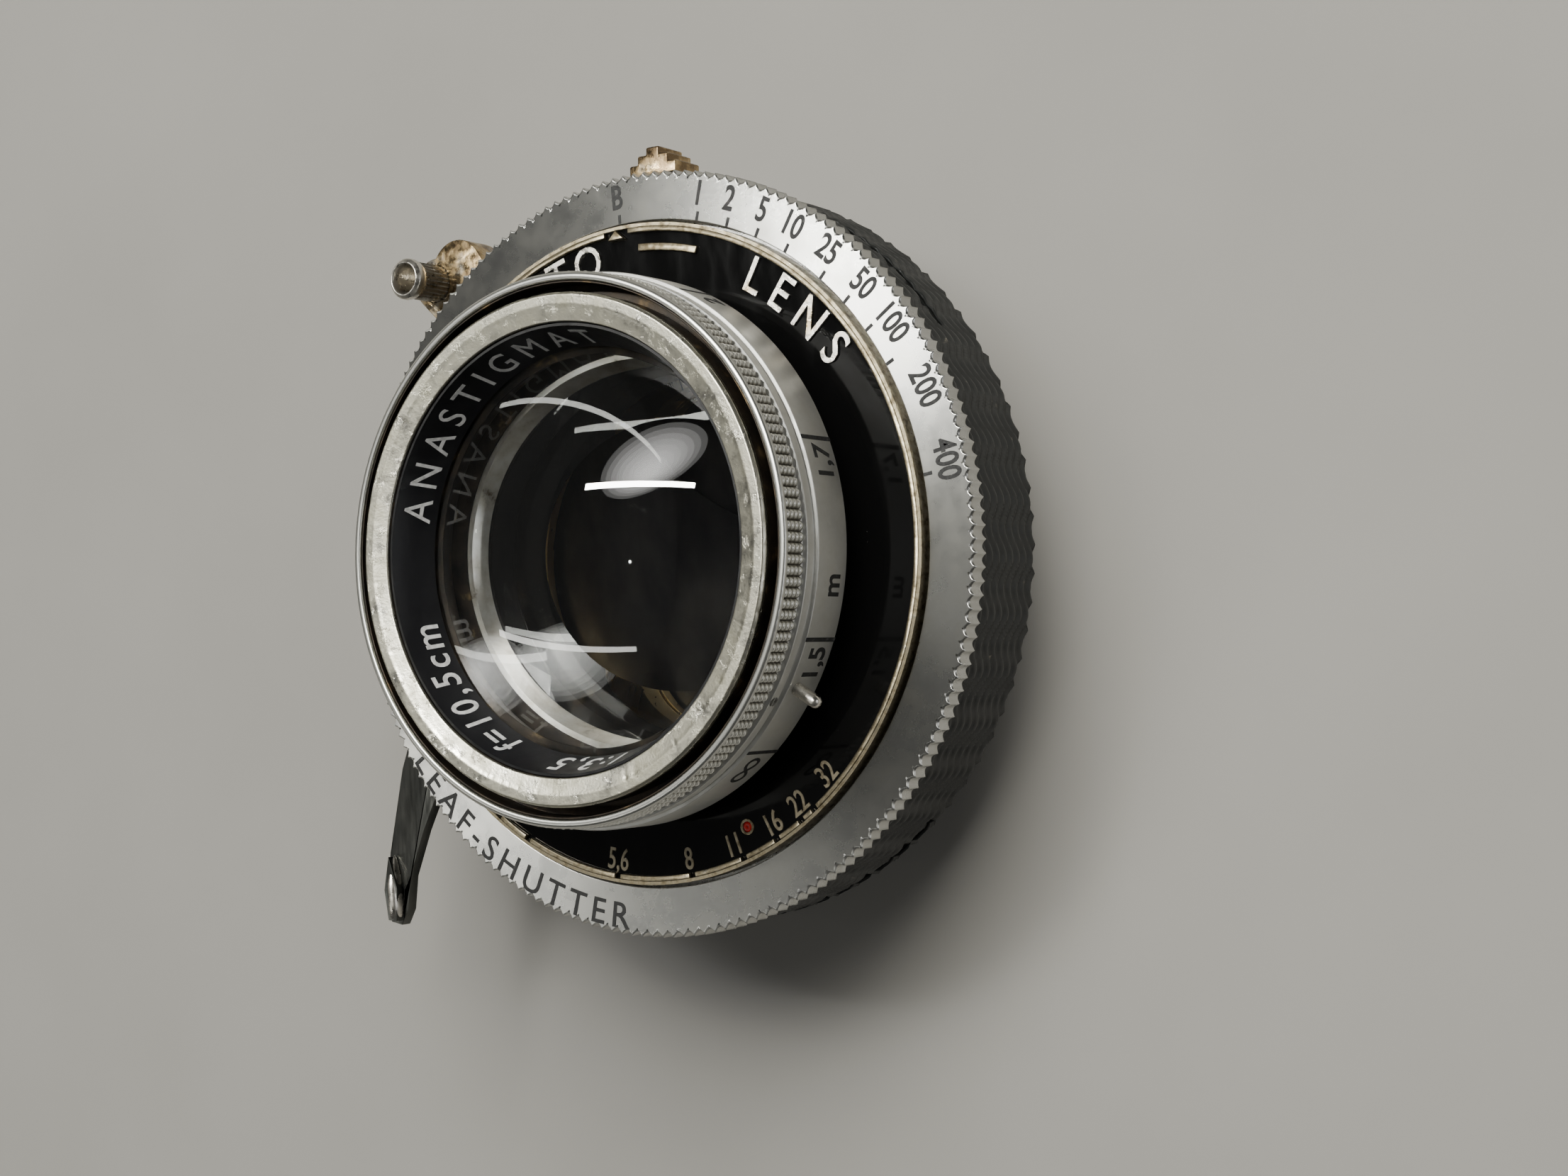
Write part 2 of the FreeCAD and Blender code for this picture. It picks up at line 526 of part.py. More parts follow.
def glass(r, z_edge_rear, z_edge_front, rear_radius, front_radius):
    """Lens with spherical faces; a negative radius is hollow, and 0 is flat."""
    body = pin(0, 0, r, z_edge_rear - 6, z_edge_front + 6)
    for radius, edge, side in ((front_radius, z_edge_front, 1), (rear_radius, z_edge_rear, -1)):
        if radius == 0:
            z0, z1 = (edge - 30, edge) if side > 0 else (edge, edge + 30)
            body = body.common(pin(0, 0, r + 1, z0, z1))
            continue
        depth = math.sqrt(radius ** 2 - r ** 2)
        if radius > 0:
            body = body.common(Part.makeSphere(radius, V(0, 0, edge - side * depth)))
        else:
            z0, z1 = (edge - 30, edge) if side > 0 else (edge, edge + 30)
            body = body.common(pin(0, 0, r + 1, z0, z1))
            body = body.cut(Part.makeSphere(-radius, V(0, 0, edge + side * depth)))
    return body


save("middle_element", glass(13.3, 7.55, 9.9, -38.0, -60.0))
save("middle_retainer", lathe([(12.0, 9.95), (13.35, 9.95), (13.35, 10.9), (12.9, 10.9)]))

# ---------------------------------------------------------------- rear cell
REAR_CELL_R = 15.5
REAR_FRONT = -0.6
REAR_SHOULDER = -SEAT_TUBE_LENGTH - 0.05
REAR_BORE = 13.0
REAR_GLASS_R = REAR_BORE - RUN_GAP
CEMENT_RADIUS = 46.0               # the cemented surface
rear = lathe([(12.9, REAR_FRONT), (CELL_THREAD_R, REAR_FRONT), (CELL_THREAD_R, REAR_SHOULDER),
              (REAR_CELL_R, REAR_SHOULDER), (REAR_CELL_R, REAR_END + 0.3), (REAR_CELL_R - 0.3, REAR_END),
              (REAR_BORE + 0.3, REAR_END), (REAR_BORE, REAR_END + 0.4), (REAR_BORE, -2.6), (12.2, -2.4),
              (12.2, -1.6), (12.9, -1.4)])
save("rear_cell", rear)
rear_front = glass(REAR_GLASS_R, -4.9, -2.7, -CEMENT_RADIUS, -90.0)
rear_back = glass(REAR_GLASS_R, -6.9, -4.9, 60.0, CEMENT_RADIUS)
save("rear_element_front", rear_front)
save("rear_element_back", rear_back.cut(rear_front))
save("rear_retainer", lathe([(11.9, -8.2), (REAR_GLASS_R, -8.2), (REAR_GLASS_R, -7.0), (12.5, -7.0),
                             (11.9, -7.3)]))

# ---------------------------------------------------------------- front cell, turns to focus
MALE_R = FEMALE_R - RUN_GAP
CELL_REAR = 12.2
CELL_SHOULDER = 15.25
CELL_R = 18.55                     # seat of the focusing ring
CELL_BORE = 14.5
GLASS_FLOOR = 15.6
NAME_POCKET_R = 16.85
front = lathe([(CELL_BORE, CELL_REAR), (MALE_R, CELL_REAR), (MALE_R, CELL_SHOULDER),
               (CELL_R, CELL_SHOULDER), (CELL_R, 18.4), (RIM_R, 18.7), (RIM_R, RIM_FRONT - 0.05),
               (RIM_R - 0.1, RIM_FRONT), (18.1, RIM_FRONT - 0.02), (NAME_POCKET_R + 0.03, 20.8),
               (NAME_POCKET_R, 16.3), (16.1, 16.3), (16.1, GLASS_FLOOR), (CELL_BORE, GLASS_FLOOR)])
save("front_cell", front)
save("name_ring", lathe([(GLASS_EDGE_R, 16.95), (16.15, 16.7), (16.8, 16.7), (16.8, 20.55),
                         (NAME_R_FRONT, 20.55)]))
FRONT_GLASS_R = 16.0
lens_edge = FRONT_LENS_TOP - (FRONT_LENS_R - math.sqrt(FRONT_LENS_R ** 2 - FRONT_GLASS_R ** 2))
save("front_element", glass(FRONT_GLASS_R, GLASS_FLOOR + 0.1, lens_edge, 0, FRONT_LENS_R))

KNURL_R = 20.7
BAND_R = 20.75
SKIRT_WALL = 0.6
FOCUS_BORE = CELL_R + RUN_GAP
WEB_Z = (16.6, 18.4)               # web that is clamped on the front cell
focus = lathe([(FOCUS_BORE, WEB_Z[0]), (SKIRT_R - SKIRT_WALL, WEB_Z[0]), (SKIRT_R - SKIRT_WALL, SKIRT_REAR),
               (SKIRT_R, SKIRT_REAR), (SKIRT_R, 17.2), (BAND_R, 17.35), (BAND_R, 18.3),
               (KNURL_R, WEB_Z[1]), (KNURL_R, 20.45), (20.45, FOCUS_FRONT), (19.98, FOCUS_FRONT),
               (19.95, WEB_Z[1]), (FOCUS_BORE, WEB_Z[1])])
SCREW_ANGLES = (83, 203, 323)
SCREW_Z = 17.75
SCREW_R = 0.6
screw_holes = []
screws = []
for angle in SCREW_ANGLES:
    direction = V(*polar(1, angle), 0)
    screw_holes.append(Part.makeCylinder(SCREW_R, 3, direction * 18.4 + V(0, 0, SCREW_Z), direction))
    screws.append(Part.makeCylinder(SCREW_R, 1.9, direction * 18.62 + V(0, 0, SCREW_Z), direction))
STOP_ANGLE = clock(123.7)
STOP_R = 0.5
STOP_LENGTH = 2.9
STOP_Z = V(0, 0, 16.1)
stop_direction = V(*polar(1, STOP_ANGLE), 0)
stop_root = stop_direction * (SKIRT_R - SKIRT_WALL) + STOP_Z
stop_hole = Part.makeCylinder(STOP_R, 3, stop_direction * 19.6 + STOP_Z, stop_direction)
save("focus_ring", focus.cut(Part.makeCompound(screw_holes)).cut(stop_hole))
save("focus_screws", Part.makeCompound(screws))
save("stop_pin", Part.makeCylinder(STOP_R, STOP_LENGTH, stop_root, stop_direction))
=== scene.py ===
"""Front-cell focusing lens in a rim-set leaf shutter, dressed piece by piece in the order it is
put together: case, mount, shutter works, speed ring, faceplate, cells and focusing mount.

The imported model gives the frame: +Z is the optical axis, out of the front, and +Y is the index
mark. Sizes in this file are millimetres, and MM turns them into the frame's metres. Angles
called clock are degrees run clockwise from the index mark, as read from the front.
"""
import bpy
import numpy as np
from mathutils import Matrix, Vector


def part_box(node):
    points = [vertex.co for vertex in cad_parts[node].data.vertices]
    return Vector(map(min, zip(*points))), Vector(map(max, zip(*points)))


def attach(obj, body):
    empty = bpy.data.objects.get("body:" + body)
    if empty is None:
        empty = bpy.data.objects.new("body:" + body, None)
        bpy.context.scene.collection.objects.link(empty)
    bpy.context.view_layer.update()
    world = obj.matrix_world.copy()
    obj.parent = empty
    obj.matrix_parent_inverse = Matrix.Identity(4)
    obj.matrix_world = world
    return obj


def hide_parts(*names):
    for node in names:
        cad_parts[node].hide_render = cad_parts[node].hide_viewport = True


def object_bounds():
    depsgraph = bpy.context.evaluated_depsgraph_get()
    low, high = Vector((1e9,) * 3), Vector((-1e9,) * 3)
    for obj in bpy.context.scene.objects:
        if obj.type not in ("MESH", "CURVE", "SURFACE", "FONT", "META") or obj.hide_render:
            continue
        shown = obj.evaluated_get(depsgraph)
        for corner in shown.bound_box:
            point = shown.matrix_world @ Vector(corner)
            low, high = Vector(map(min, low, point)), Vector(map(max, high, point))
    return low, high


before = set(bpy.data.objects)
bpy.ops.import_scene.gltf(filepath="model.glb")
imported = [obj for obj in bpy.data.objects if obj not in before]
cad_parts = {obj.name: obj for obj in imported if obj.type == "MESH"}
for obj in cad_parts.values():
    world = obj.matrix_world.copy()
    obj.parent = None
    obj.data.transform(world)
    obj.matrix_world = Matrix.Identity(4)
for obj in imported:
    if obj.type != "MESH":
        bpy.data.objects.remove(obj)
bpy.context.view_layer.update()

# ---------------------------------------------------------------- shutter case
# A turned brass cup that holds the whole shutter. Its side is rolled with eight wavy ribs and
# stoved matt black, and three windows are milled through the side for the levers.
MM = 0.001
TURN = 2 * np.pi


def sizes(node):
    """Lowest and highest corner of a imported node, in millimetres."""
    low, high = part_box(node)
    return np.array(low) / MM, np.array(high) / MM


def surface(name, grid, ring=False, loop=False, keep=None):
    """Mesh on a grid of points in millimetres: point (i, j) is joined to (i + 1, j) and (i, j + 1).
    ring closes the first direction on itself and loop the second; keep drops single cells."""
    rows, cols = grid.shape[:2]
    i, j = np.meshgrid(np.arange(rows if ring else rows - 1),
                       np.arange(cols if loop else cols - 1), indexing="ij")
    i1, j1 = (i + 1) % rows, (j + 1) % cols
    quads = np.stack([i * cols + j, i1 * cols + j, i1 * cols + j1, i * cols + j1], -1)
    quads = quads.reshape(-1, 4) if keep is None else quads[keep]
    return solid(name, grid.reshape(-1, 3), quads.tolist())


def solid(name, points, faces):
    """Object at the origin from points in millimetres and faces, shaded smooth."""
    mesh = bpy.data.meshes.new(name)
    mesh.from_pydata((np.asarray(points) * MM).tolist(), [], faces)
    mesh.polygons.foreach_set("use_smooth", np.ones(len(mesh.polygons), bool))
    mesh.update()
    piece = bpy.data.objects.new(name, mesh)
    bpy.context.scene.collection.objects.link(piece)
    return piece


def fit(piece, body, finish, replaces=()):
    """Dresses a new piece in its finish and lets it ride on its body."""
    piece.data.materials.clear()
    piece.data.materials.append(finish)
    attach(piece, body)
    if replaces:
        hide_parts(*replaces)
    return piece


def dress(finish, *nodes):
    """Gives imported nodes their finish."""
    for node in nodes:
        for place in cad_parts[node].material_slots:
            place.material = finish


def new_finish(name, colour, metallic, roughness):
    """Material with one shader whose even values are set on its own sockets."""
    finish = bpy.data.materials.new(name)
    finish.use_nodes = True
    shader = finish.node_tree.nodes["Principled BSDF"]
    shader.inputs["Base Color"].default_value = (*colour, 1)
    shader.inputs["Metallic"].default_value = metallic
    shader.inputs["Roughness"].default_value = roughness
    return finish, finish.node_tree, shader


def place_of(tree, stretch=(1, 1, 1)):
    """Object coordinates, stretched."""
    where = tree.nodes.new("ShaderNodeTexCoord")
    mapping = tree.nodes.new("ShaderNodeMapping")
    mapping.inputs["Scale"].default_value = stretch
    tree.links.new(where.outputs["Object"], mapping.inputs["Vector"])
    return mapping.outputs["Vector"]


def mottle(tree, per_mm, where=None, detail=3.0, rough=0.55):
    """Cloudy noise with a given number of blotches to the millimetre."""
    noise = tree.nodes.new("ShaderNodeTexNoise")
    noise.inputs["Scale"].default_value = per_mm / MM
    noise.inputs["Detail"].default_value = detail
    noise.inputs["Roughness"].default_value = rough
    tree.links.new(where or place_of(tree), noise.inputs["Vector"])
    return noise.outputs["Fac"]


def level(tree, value, low, high, out_low=0.0, out_high=1.0):
    """Value run from low..high to out_low..out_high and held there."""
    ramp = tree.nodes.new("ShaderNodeMapRange")
    for socket, number in zip(("From Min", "From Max", "To Min", "To Max"),
                              (low, high, out_low, out_high)):
        ramp.inputs[socket].default_value = number
    tree.links.new(value, ramp.inputs["Value"])
    return ramp.outputs["Result"]


def tint(tree, value, *stops):
    """Colour picked from (place, colour) stops by a value."""
    ramp = tree.nodes.new("ShaderNodeValToRGB")
    while len(ramp.color_ramp.elements) < len(stops):
        ramp.color_ramp.elements.new(0.5)
    for element, (place, colour) in zip(ramp.color_ramp.elements, stops):
        element.position = place
        element.color = (*colour, 1)
    tree.links.new(value, ramp.inputs["Fac"])
    return ramp.outputs["Color"]


def sums(tree, operation, a, b):
    """One arithmetic step between two values, either of which may be a number."""
    node = tree.nodes.new("ShaderNodeMath")
    node.operation = operation
    for socket, value in zip(node.inputs, (a, b)):
        if isinstance(value, (int, float)):
            socket.default_value = value
        else:
            tree.links.new(value, socket)
    return node.outputs[0]


def relief(tree, shader, height, depth_mm):
    """Raises the surface by a height map."""
    bump = tree.nodes.new("ShaderNodeBump")
    bump.inputs["Distance"].default_value = depth_mm * MM
    tree.links.new(height, bump.inputs["Height"])
    tree.links.new(bump.outputs["Normal"], shader.inputs["Normal"])


def colour_by(tree, shader, colour):
    tree.links.new(colour, shader.inputs["Base Color"])


def gloss_by(tree, shader, value):
    tree.links.new(value, shader.inputs["Roughness"])


def enamel_finish():
    """Stoved matt enamel: fine orange peel, a few rubs down to dull brass."""
    finish, tree, shader = new_finish("case_enamel", (0.02, 0.02, 0.02), 0.0, 0.5)
    rubs = level(tree, mottle(tree, 0.9, detail=5), 0.70, 0.76)
    colour_by(tree, shader, tint(tree, rubs, (0, (0.02, 0.021, 0.02)), (1, (0.16, 0.14, 0.11))))
    gloss_by(tree, shader, level(tree, mottle(tree, 0.3), 0.3, 0.7, 0.36, 0.5))
    relief(tree, shader, mottle(tree, 6.0), 0.008)
    return finish


WAVES = 43
RIBS = 8
RIB_SWING = 0.6             # how far a rib wanders to each side of its line
RIB_HEIGHT = 0.27
CASE_TOP = sizes("shutter_case")[1][2]
CASE_R = 28.95              # outside of the plain case, under the ribs
SKIN_Z = (0.45, CASE_TOP - 0.1)
# First and last angle, lowest and highest height of each lever's window.
WINDOWS = ((226.3, 310.8, 1.0, 1.7), (30.0, 96.0, 4.8, 5.9), (195.0, 219.0, 4.85, 6.15))


def ribbed_skin():
    """Sleeve over the case: the radius at angle t and height z is the case's plus half a rib
    times one plus the cosine of 2 pi (z + swing sin(waves t)) / pitch. Cells that fall in a
    window are left out, and a straight inner wall and the window edges close it."""
    steps, lines = WAVES * 16, RIBS * 6 + 1
    t = np.linspace(0, TURN, steps, endpoint=False)[:, None]
    z = np.linspace(*SKIN_Z, lines)[None, :]
    pitch = (SKIN_Z[1] - SKIN_Z[0]) / RIBS
    wave = np.cos(TURN * (z - SKIN_Z[0] + RIB_SWING * np.sin(WAVES * t)) / pitch)
    r = CASE_R + 0.02 + RIB_HEIGHT * (0.5 + 0.5 * wave)
    outer = np.stack([r * np.cos(t), r * np.sin(t), z + 0 * t], -1)
    inner = np.stack([(CASE_R - 0.05) * np.cos(t) + 0 * z, (CASE_R - 0.05) * np.sin(t) + 0 * z,
                      z + 0 * t], -1)
    mid_t = np.degrees(t + TURN / steps / 2) % 360
    mid_z = (z[:, 1:] + z[:, :-1]) / 2
    kept = np.ones((steps, lines - 1), bool)
    for a0, a1, z0, z1 in WINDOWS:
        kept &= ~((mid_t > a0) & (mid_t < a1) & (mid_z > z0) & (mid_z < z1))
    number = np.arange(steps * lines).reshape(steps, lines)
    after = np.roll(number, -1, 0)
    far = steps * lines
    front = np.stack([number[:, :-1], after[:, :-1], after[:, 1:], number[:, 1:]], -1)[kept]
    back = front[:, ::-1] + far
    padded = np.pad(kept, ((0, 0), (1, 1)))
    walls = []
    for low, high in ((True, False), (False, True)):
        edge = (padded[:, :-1] == low) & (padded[:, 1:] == high)
        a, b = (after, number) if high else (number, after)
        walls.append(np.stack([a, b, b + far, a + far], -1)[edge])
    before = np.roll(kept, 1, 0)
    for edge, a, b in ((kept & ~before, number[:, :-1], number[:, 1:]),
                       (~kept & before, number[:, 1:], number[:, :-1])):
        walls.append(np.stack([a, b, b + far, a + far], -1)[edge])
    faces = np.concatenate([front, back, *walls])
    return solid("case_skin", np.concatenate([outer.reshape(-1, 3), inner.reshape(-1, 3)]),
                 faces.tolist())


case_enamel = enamel_finish()
dress(case_enamel, "shutter_case")
fit(ribbed_skin(), "shutter", case_enamel)

# ---------------------------------------------------------------- seat tube and locating screw
# A brass tube with the fine mounting thread, pressed into the back of the case and blackened.
# The headless screw beside it stops the shutter turning on its board.
THREAD_PITCH = 0.5
THREAD_DEPTH = 0.27
THREAD_LINES = 54           # rows of points along the thread
TUBE_BORE = 14.8
SEAT_DROP = 0.36            # how far the tube's end in the case is turned down


def eased(outline, radius, steps=4):
    """Closed outline with each corner drawn as a curve that starts and ends one radius from it,
    and with a holding point half a radius further out, so the flats stay flat when shaded."""
    p = np.array(outline, float)
    curve = np.linspace(0, 1, steps)[None, :, None]
    ends = []
    for other in (np.roll(p, 1, 0), np.roll(p, -1, 0)):
        run = np.linalg.norm(other - p, axis=1, keepdims=True)
        ends.append((other - p) / run * np.minimum(radius, 0.3 * run))
    start, end = (p + ends[0])[:, None], (p + ends[1])[:, None]
    bend = (1 - curve) ** 2 * start + 2 * curve * (1 - curve) * p[:, None] + curve ** 2 * end
    hold = [p[:, None] + 1.5 * side[:, None] for side in ends]
    return np.concatenate([hold[0], bend, hold[1]], 1).reshape(-1, 2)


def turned(name, outline, steps=360, change=None):
    """Closed outline of (radius, height) points carried round the axis, anticlockwise as seen
    with the radius to the right: the point at angle t is (r cos t, r sin t, z).
    change(t, r, z) may first give the radius and height another value at each angle."""
    t = np.linspace(0, TURN, steps, endpoint=False)[:, None]
    r, z = np.array(outline, float).T[:, None, :]
    r, z = change(t, r, z) if change else (r, z)
    r, z = r + 0 * t, z + 0 * t
    return surface(name, np.stack([r * np.cos(t), r * np.sin(t), z], -1), ring=True, loop=True)


def blackened_finish():
    """Chemically blackened brass: brown-black, patchy, with a low sheen."""
    finish, tree, shader = new_finish("blackened_brass", (0.03, 0.025, 0.02), 0.7, 0.45)
    patches = mottle(tree, 0.5, detail=4)
    colour_by(tree, shader, tint(tree, patches, (0.35, (0.018, 0.016, 0.014)),
                                 (0.62, (0.05, 0.038, 0.026)), (0.74, (0.2, 0.14, 0.07))))
    gloss_by(tree, shader, level(tree, patches, 0.3, 0.7, 0.34, 0.55))
    relief(tree, shader, mottle(tree, 8.0), 0.006)
    return finish


def threaded(t, r, z, ends, outside):
    """Cuts a thread: a triangle wave of the height less one pitch per turn, faded at the ends."""
    wave = np.abs(((z / THREAD_PITCH - t / TURN) % 1) * 2 - 1)
    fade = np.clip((z - ends[0]) / THREAD_PITCH, 0, 1) * np.clip((ends[1] - z) / THREAD_PITCH, 0, 1)
    return np.where(r > outside - 0.01, r - THREAD_DEPTH * wave * fade, r + 0 * t), z + 0 * t


def seat_tube():
    low, high = sizes("mount_tube")
    radius, seat_r = high[0], high[0] - SEAT_DROP
    inner = [(TUBE_BORE, high[2]), (TUBE_BORE, low[2] + 0.2), (TUBE_BORE + 0.2, low[2])]
    lines = np.linspace(low[2], -0.02, THREAD_LINES)
    outer = np.stack([np.full(THREAD_LINES, radius), lines], -1)
    outline = np.concatenate([inner, outer, [(seat_r, 0.35), (seat_r, high[2])]])
    return turned("seat_tube", outline, 240,
                  lambda t, r, z: threaded(t, r, z, (low[2], -0.4), radius))


blackened = blackened_finish()
fit(seat_tube(), "shutter", blackened, ["mount_tube"])


def plain_steel_finish():
    """Ground steel, slightly greyed."""
    finish, tree, shader = new_finish("ground_steel", (0.4, 0.4, 0.4), 1.0, 0.3)
    colour_by(tree, shader, tint(tree, mottle(tree, 1.2), (0.3, (0.3, 0.3, 0.29)),
                                 (0.7, (0.5, 0.5, 0.49))))
    gloss_by(tree, shader, level(tree, mottle(tree, 3.0), 0.3, 0.7, 0.2, 0.42))
    relief(tree, shader, mottle(tree, 9.0, place_of(tree, (1, 0.1, 1))), 0.004)
    return finish


steel = plain_steel_finish()
dress(steel, "locating_screw")

# ---------------------------------------------------------------- cable-release lug and socket
# The lug is cast brass with worn nickel plate, riveted to the case. The socket is turned from
# nickelled brass with a rolled mouth and a coined barrel, and is screwed into the lug.
COIN_TEETH = 26


def worn_nickel_finish(name, wear):
    """Nickel plate rubbed through to brass in patches, with tarnish in the hollows. The lower
    the wear value, the more brass shows."""
    finish, tree, shader = new_finish(name, (0.6, 0.55, 0.47), 1.0, 0.25)
    patches = mottle(tree, 0.55, detail=6, rough=0.62)
    colour_by(tree, shader, tint(tree, patches, (wear - 0.12, (0.66, 0.63, 0.57)),
                                 (wear - 0.02, (0.55, 0.47, 0.35)), (wear + 0.08, (0.5, 0.37, 0.2)),
                                 (wear + 0.2, (0.2, 0.14, 0.08))))
    gloss_by(tree, shader, level(tree, mottle(tree, 1.4, detail=5), 0.32, 0.68, 0.16, 0.46))
    relief(tree, shader, mottle(tree, 2.2, detail=6), 0.03)
    return finish


def softened(node, name, radius, body, finish, segments=3):
    """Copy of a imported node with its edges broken: welded, its flats joined, then bevelled."""
    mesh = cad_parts[node].data.copy()
    mesh.name = name
    piece = bpy.data.objects.new(name, mesh)
    bpy.context.scene.collection.objects.link(piece)
    weld = piece.modifiers.new("weld", "WELD")
    weld.merge_threshold = 1e-6
    flats = piece.modifiers.new("flats", "DECIMATE")
    flats.decimate_type = "DISSOLVE"
    flats.angle_limit = np.radians(1.0)
    bevel = piece.modifiers.new("edges", "BEVEL")
    bevel.width = radius * MM
    bevel.segments = segments
    bevel.limit_method = "ANGLE"
    bevel.angle_limit = np.radians(32)
    bevel.harden_normals = True
    mesh.polygons.foreach_set("use_smooth", np.ones(len(mesh.polygons), bool))
    return fit(piece, body, finish, [node])


def release_socket():
    """Body of revolution about the socket's own axis; the barrel's radius falls between the
    teeth by a rectified cosine of the angle."""
    low, high = sizes("cable_socket")
    centre, mouth_r = (low + high) / 2, (high[0] - low[0]) / 2
    barrel_r, bore, front = mouth_r - 0.15, 1.15, high[2]
    outline = eased([(bore, low[2] + 3.0), (bore, front - 0.5), (bore + 0.12, front - 0.1),
                     (mouth_r - 0.35, front), (mouth_r, front - 0.3), (mouth_r, front - 0.85),
                     (barrel_r, front - 1.1), (barrel_r, low[2]), (0.02, low[2]),
                     (0.02, low[2] + 3.0)], 0.16, 5)
    z_runs = np.linspace(low[2] + 2.8, front - 1.35, 6)
    cut = np.argmin(np.abs(outline[:, 1] - (front - 1.1)) + 5 * (outline[:, 0] < barrel_r - 0.3))
    outline = np.insert(outline, cut + 3, np.stack([np.full(6, barrel_r), z_runs[::-1]], -1), 0)
    t = np.linspace(0, TURN, COIN_TEETH * 8, endpoint=False)[:, None]
    r, z = outline.T[:, None, :]
    on_barrel = (r > bore + 0.1) & (z < front - 1.15) & (z > low[2] + 2.6)
    r = r - 0.13 * on_barrel * np.abs(np.sin(COIN_TEETH * t / 2)) ** 0.7
    grid = np.stack([centre[0] + r * np.cos(t), centre[1] + r * np.sin(t), z + 0 * t], -1)
    return surface("release_socket", grid, ring=True, loop=True)


bright_nickel = worn_nickel_finish("bright_nickel", 0.72)
softened("cable_lug", "release_lug", 0.35, "shutter",
         worn_nickel_finish("lug_brass", 0.42))
fit(release_socket(), "shutter", bright_nickel, ["cable_socket"])

# ---------------------------------------------------------------- iris
# Ten blued steel blades lie round the opening, each riveted on a pivot and driven by a pin in
# the slotted aperture ring. The ring's nickelled lever comes out through the side of the case.


def blued_finish():
    """Thin blued spring steel, almost black, rubbed brighter along the edges."""
    finish, tree, shader = new_finish("blued_blades", (0.02, 0.02, 0.022), 0.6, 0.38)
    smears = mottle(tree, 0.6, place_of(tree, (1, 0.35, 1)), detail=4)
    colour_by(tree, shader, tint(tree, smears, (0.35, (0.012, 0.012, 0.014)),
                                 (0.7, (0.05, 0.046, 0.044))))
    gloss_by(tree, shader, level(tree, smears, 0.3, 0.7, 0.3, 0.5))
    return finish


def mechanism_brass_finish():
    """Fine-grained brass of the mechanism plates."""
    finish, tree, shader = new_finish("mechanism_brass", (0.6, 0.47, 0.24), 1.0, 0.34)
    grain = mottle(tree, 4.0, place_of(tree, (1, 0.05, 1)))
    colour_by(tree, shader, tint(tree, mottle(tree, 0.4), (0.3, (0.5, 0.38, 0.19)),
                                 (0.7, (0.68, 0.55, 0.3))))
    gloss_by(tree, shader, level(tree, grain, 0.3, 0.7, 0.26, 0.44))
    relief(tree, shader, grain, 0.004)
    return finish


blued = blued_finish()
works_brass = mechanism_brass_finish()
dress(blued, *[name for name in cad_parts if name.startswith("iris_blade")])
dress(works_brass, "aperture_ring")
dress(steel, "iris_pivots")
softened("aperture_lever", "aperture_handle", 0.12, "aperture", bright_nickel)

# ---------------------------------------------------------------- shutter blades and works
# Five blued blades close over the opening, pinned on the blade plate and swung by the blade
# ring. Above them the works plate carries the cocking ring, its spring and the retard train.
dress(blued, *[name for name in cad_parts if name.startswith("shutter_blade")])
dress(works_brass, "blade_plate", "blade_ring", "works_plate", "cocking_ring", "train_bridge",
      "retard_sector", "retard_wheel")
dress(steel, "shutter_pivots", "main_spring", "release_pivot", "release_spring", "star_wheel",
      "pallet_anchor", "train_arbors", "speed_cam")
softened("cocking_lever", "cocking_handle", 0.16, "cocking",
         worn_nickel_finish("thumb_nickel", 0.36))


def dark_polished_finish():
    """Dark blued steel, polished, with a fine draw-filed grain along the lever."""
    finish, tree, shader = new_finish("dark_polished_steel", (0.12, 0.12, 0.115), 1.0, 0.26)
    grain = mottle(tree, 2.5, place_of(tree, (1, 0.12, 1)), detail=4)
    colour_by(tree, shader, tint(tree, mottle(tree, 0.35), (0.3, (0.085, 0.088, 0.082)),
                                 (0.75, (0.13, 0.13, 0.12))))
    gloss_by(tree, shader, level(tree, grain, 0.3, 0.7, 0.26, 0.36))
    relief(tree, shader, grain, 0.003)
    return finish


def swept(name, path, widths, heights, steps=20, rings=36):
    """Closed bar along a smooth path through given points: the section is an ellipse whose half
    width and half height are read off along the path, and both ends close to nearly a point."""
    knots = np.linspace(0, 1, len(path))
    u = np.linspace(0, 1, rings)
    fitted = [np.polyfit(knots, np.array(path)[:, k], min(3, len(path) - 1)) for k in range(3)]
    middle = np.stack([np.polyval(curve, u) for curve in fitted], -1)[:, None, :]
    along = np.gradient(middle[:, 0], axis=0)
    side = np.stack([along[:, 1], -along[:, 0], 0 * u], -1)
    side /= np.linalg.norm(side, axis=1, keepdims=True)
    close = np.sqrt(np.clip(1 - (2 * u - 1) ** 6, 1e-5, 1))[:, None, None]
    half = [np.interp(u, np.linspace(0, 1, len(some)), some)[:, None, None]
            for some in (widths, heights)]
    v = np.linspace(0, TURN, steps, endpoint=False)[None, :, None]
    grid = middle + close * (half[0] * np.cos(v) * side[:, None] + half[1] * np.sin(v) * (0, 0, 1))
    return surface(name, grid.transpose(1, 0, 2)[::-1], ring=True)


dark_polished = dark_polished_finish()
softened("release_lever", "release_blade", 0.18, "release", dark_polished)
FINGER = ((-32.1, -28.3, 6.3), (-31.8, -27.0, 6.4), (-31.85, -25.2, 6.4), (-32.0, -22.7, 6.15))
FINGER_WIDTHS = (0.5, 0.6, 0.55, 0.3)
FINGER_HEIGHTS = (0.74, 0.78, 0.74, 0.35)
fit(swept("release_finger", FINGER, FINGER_WIDTHS, FINGER_HEIGHTS), "release",
    bright_nickel)

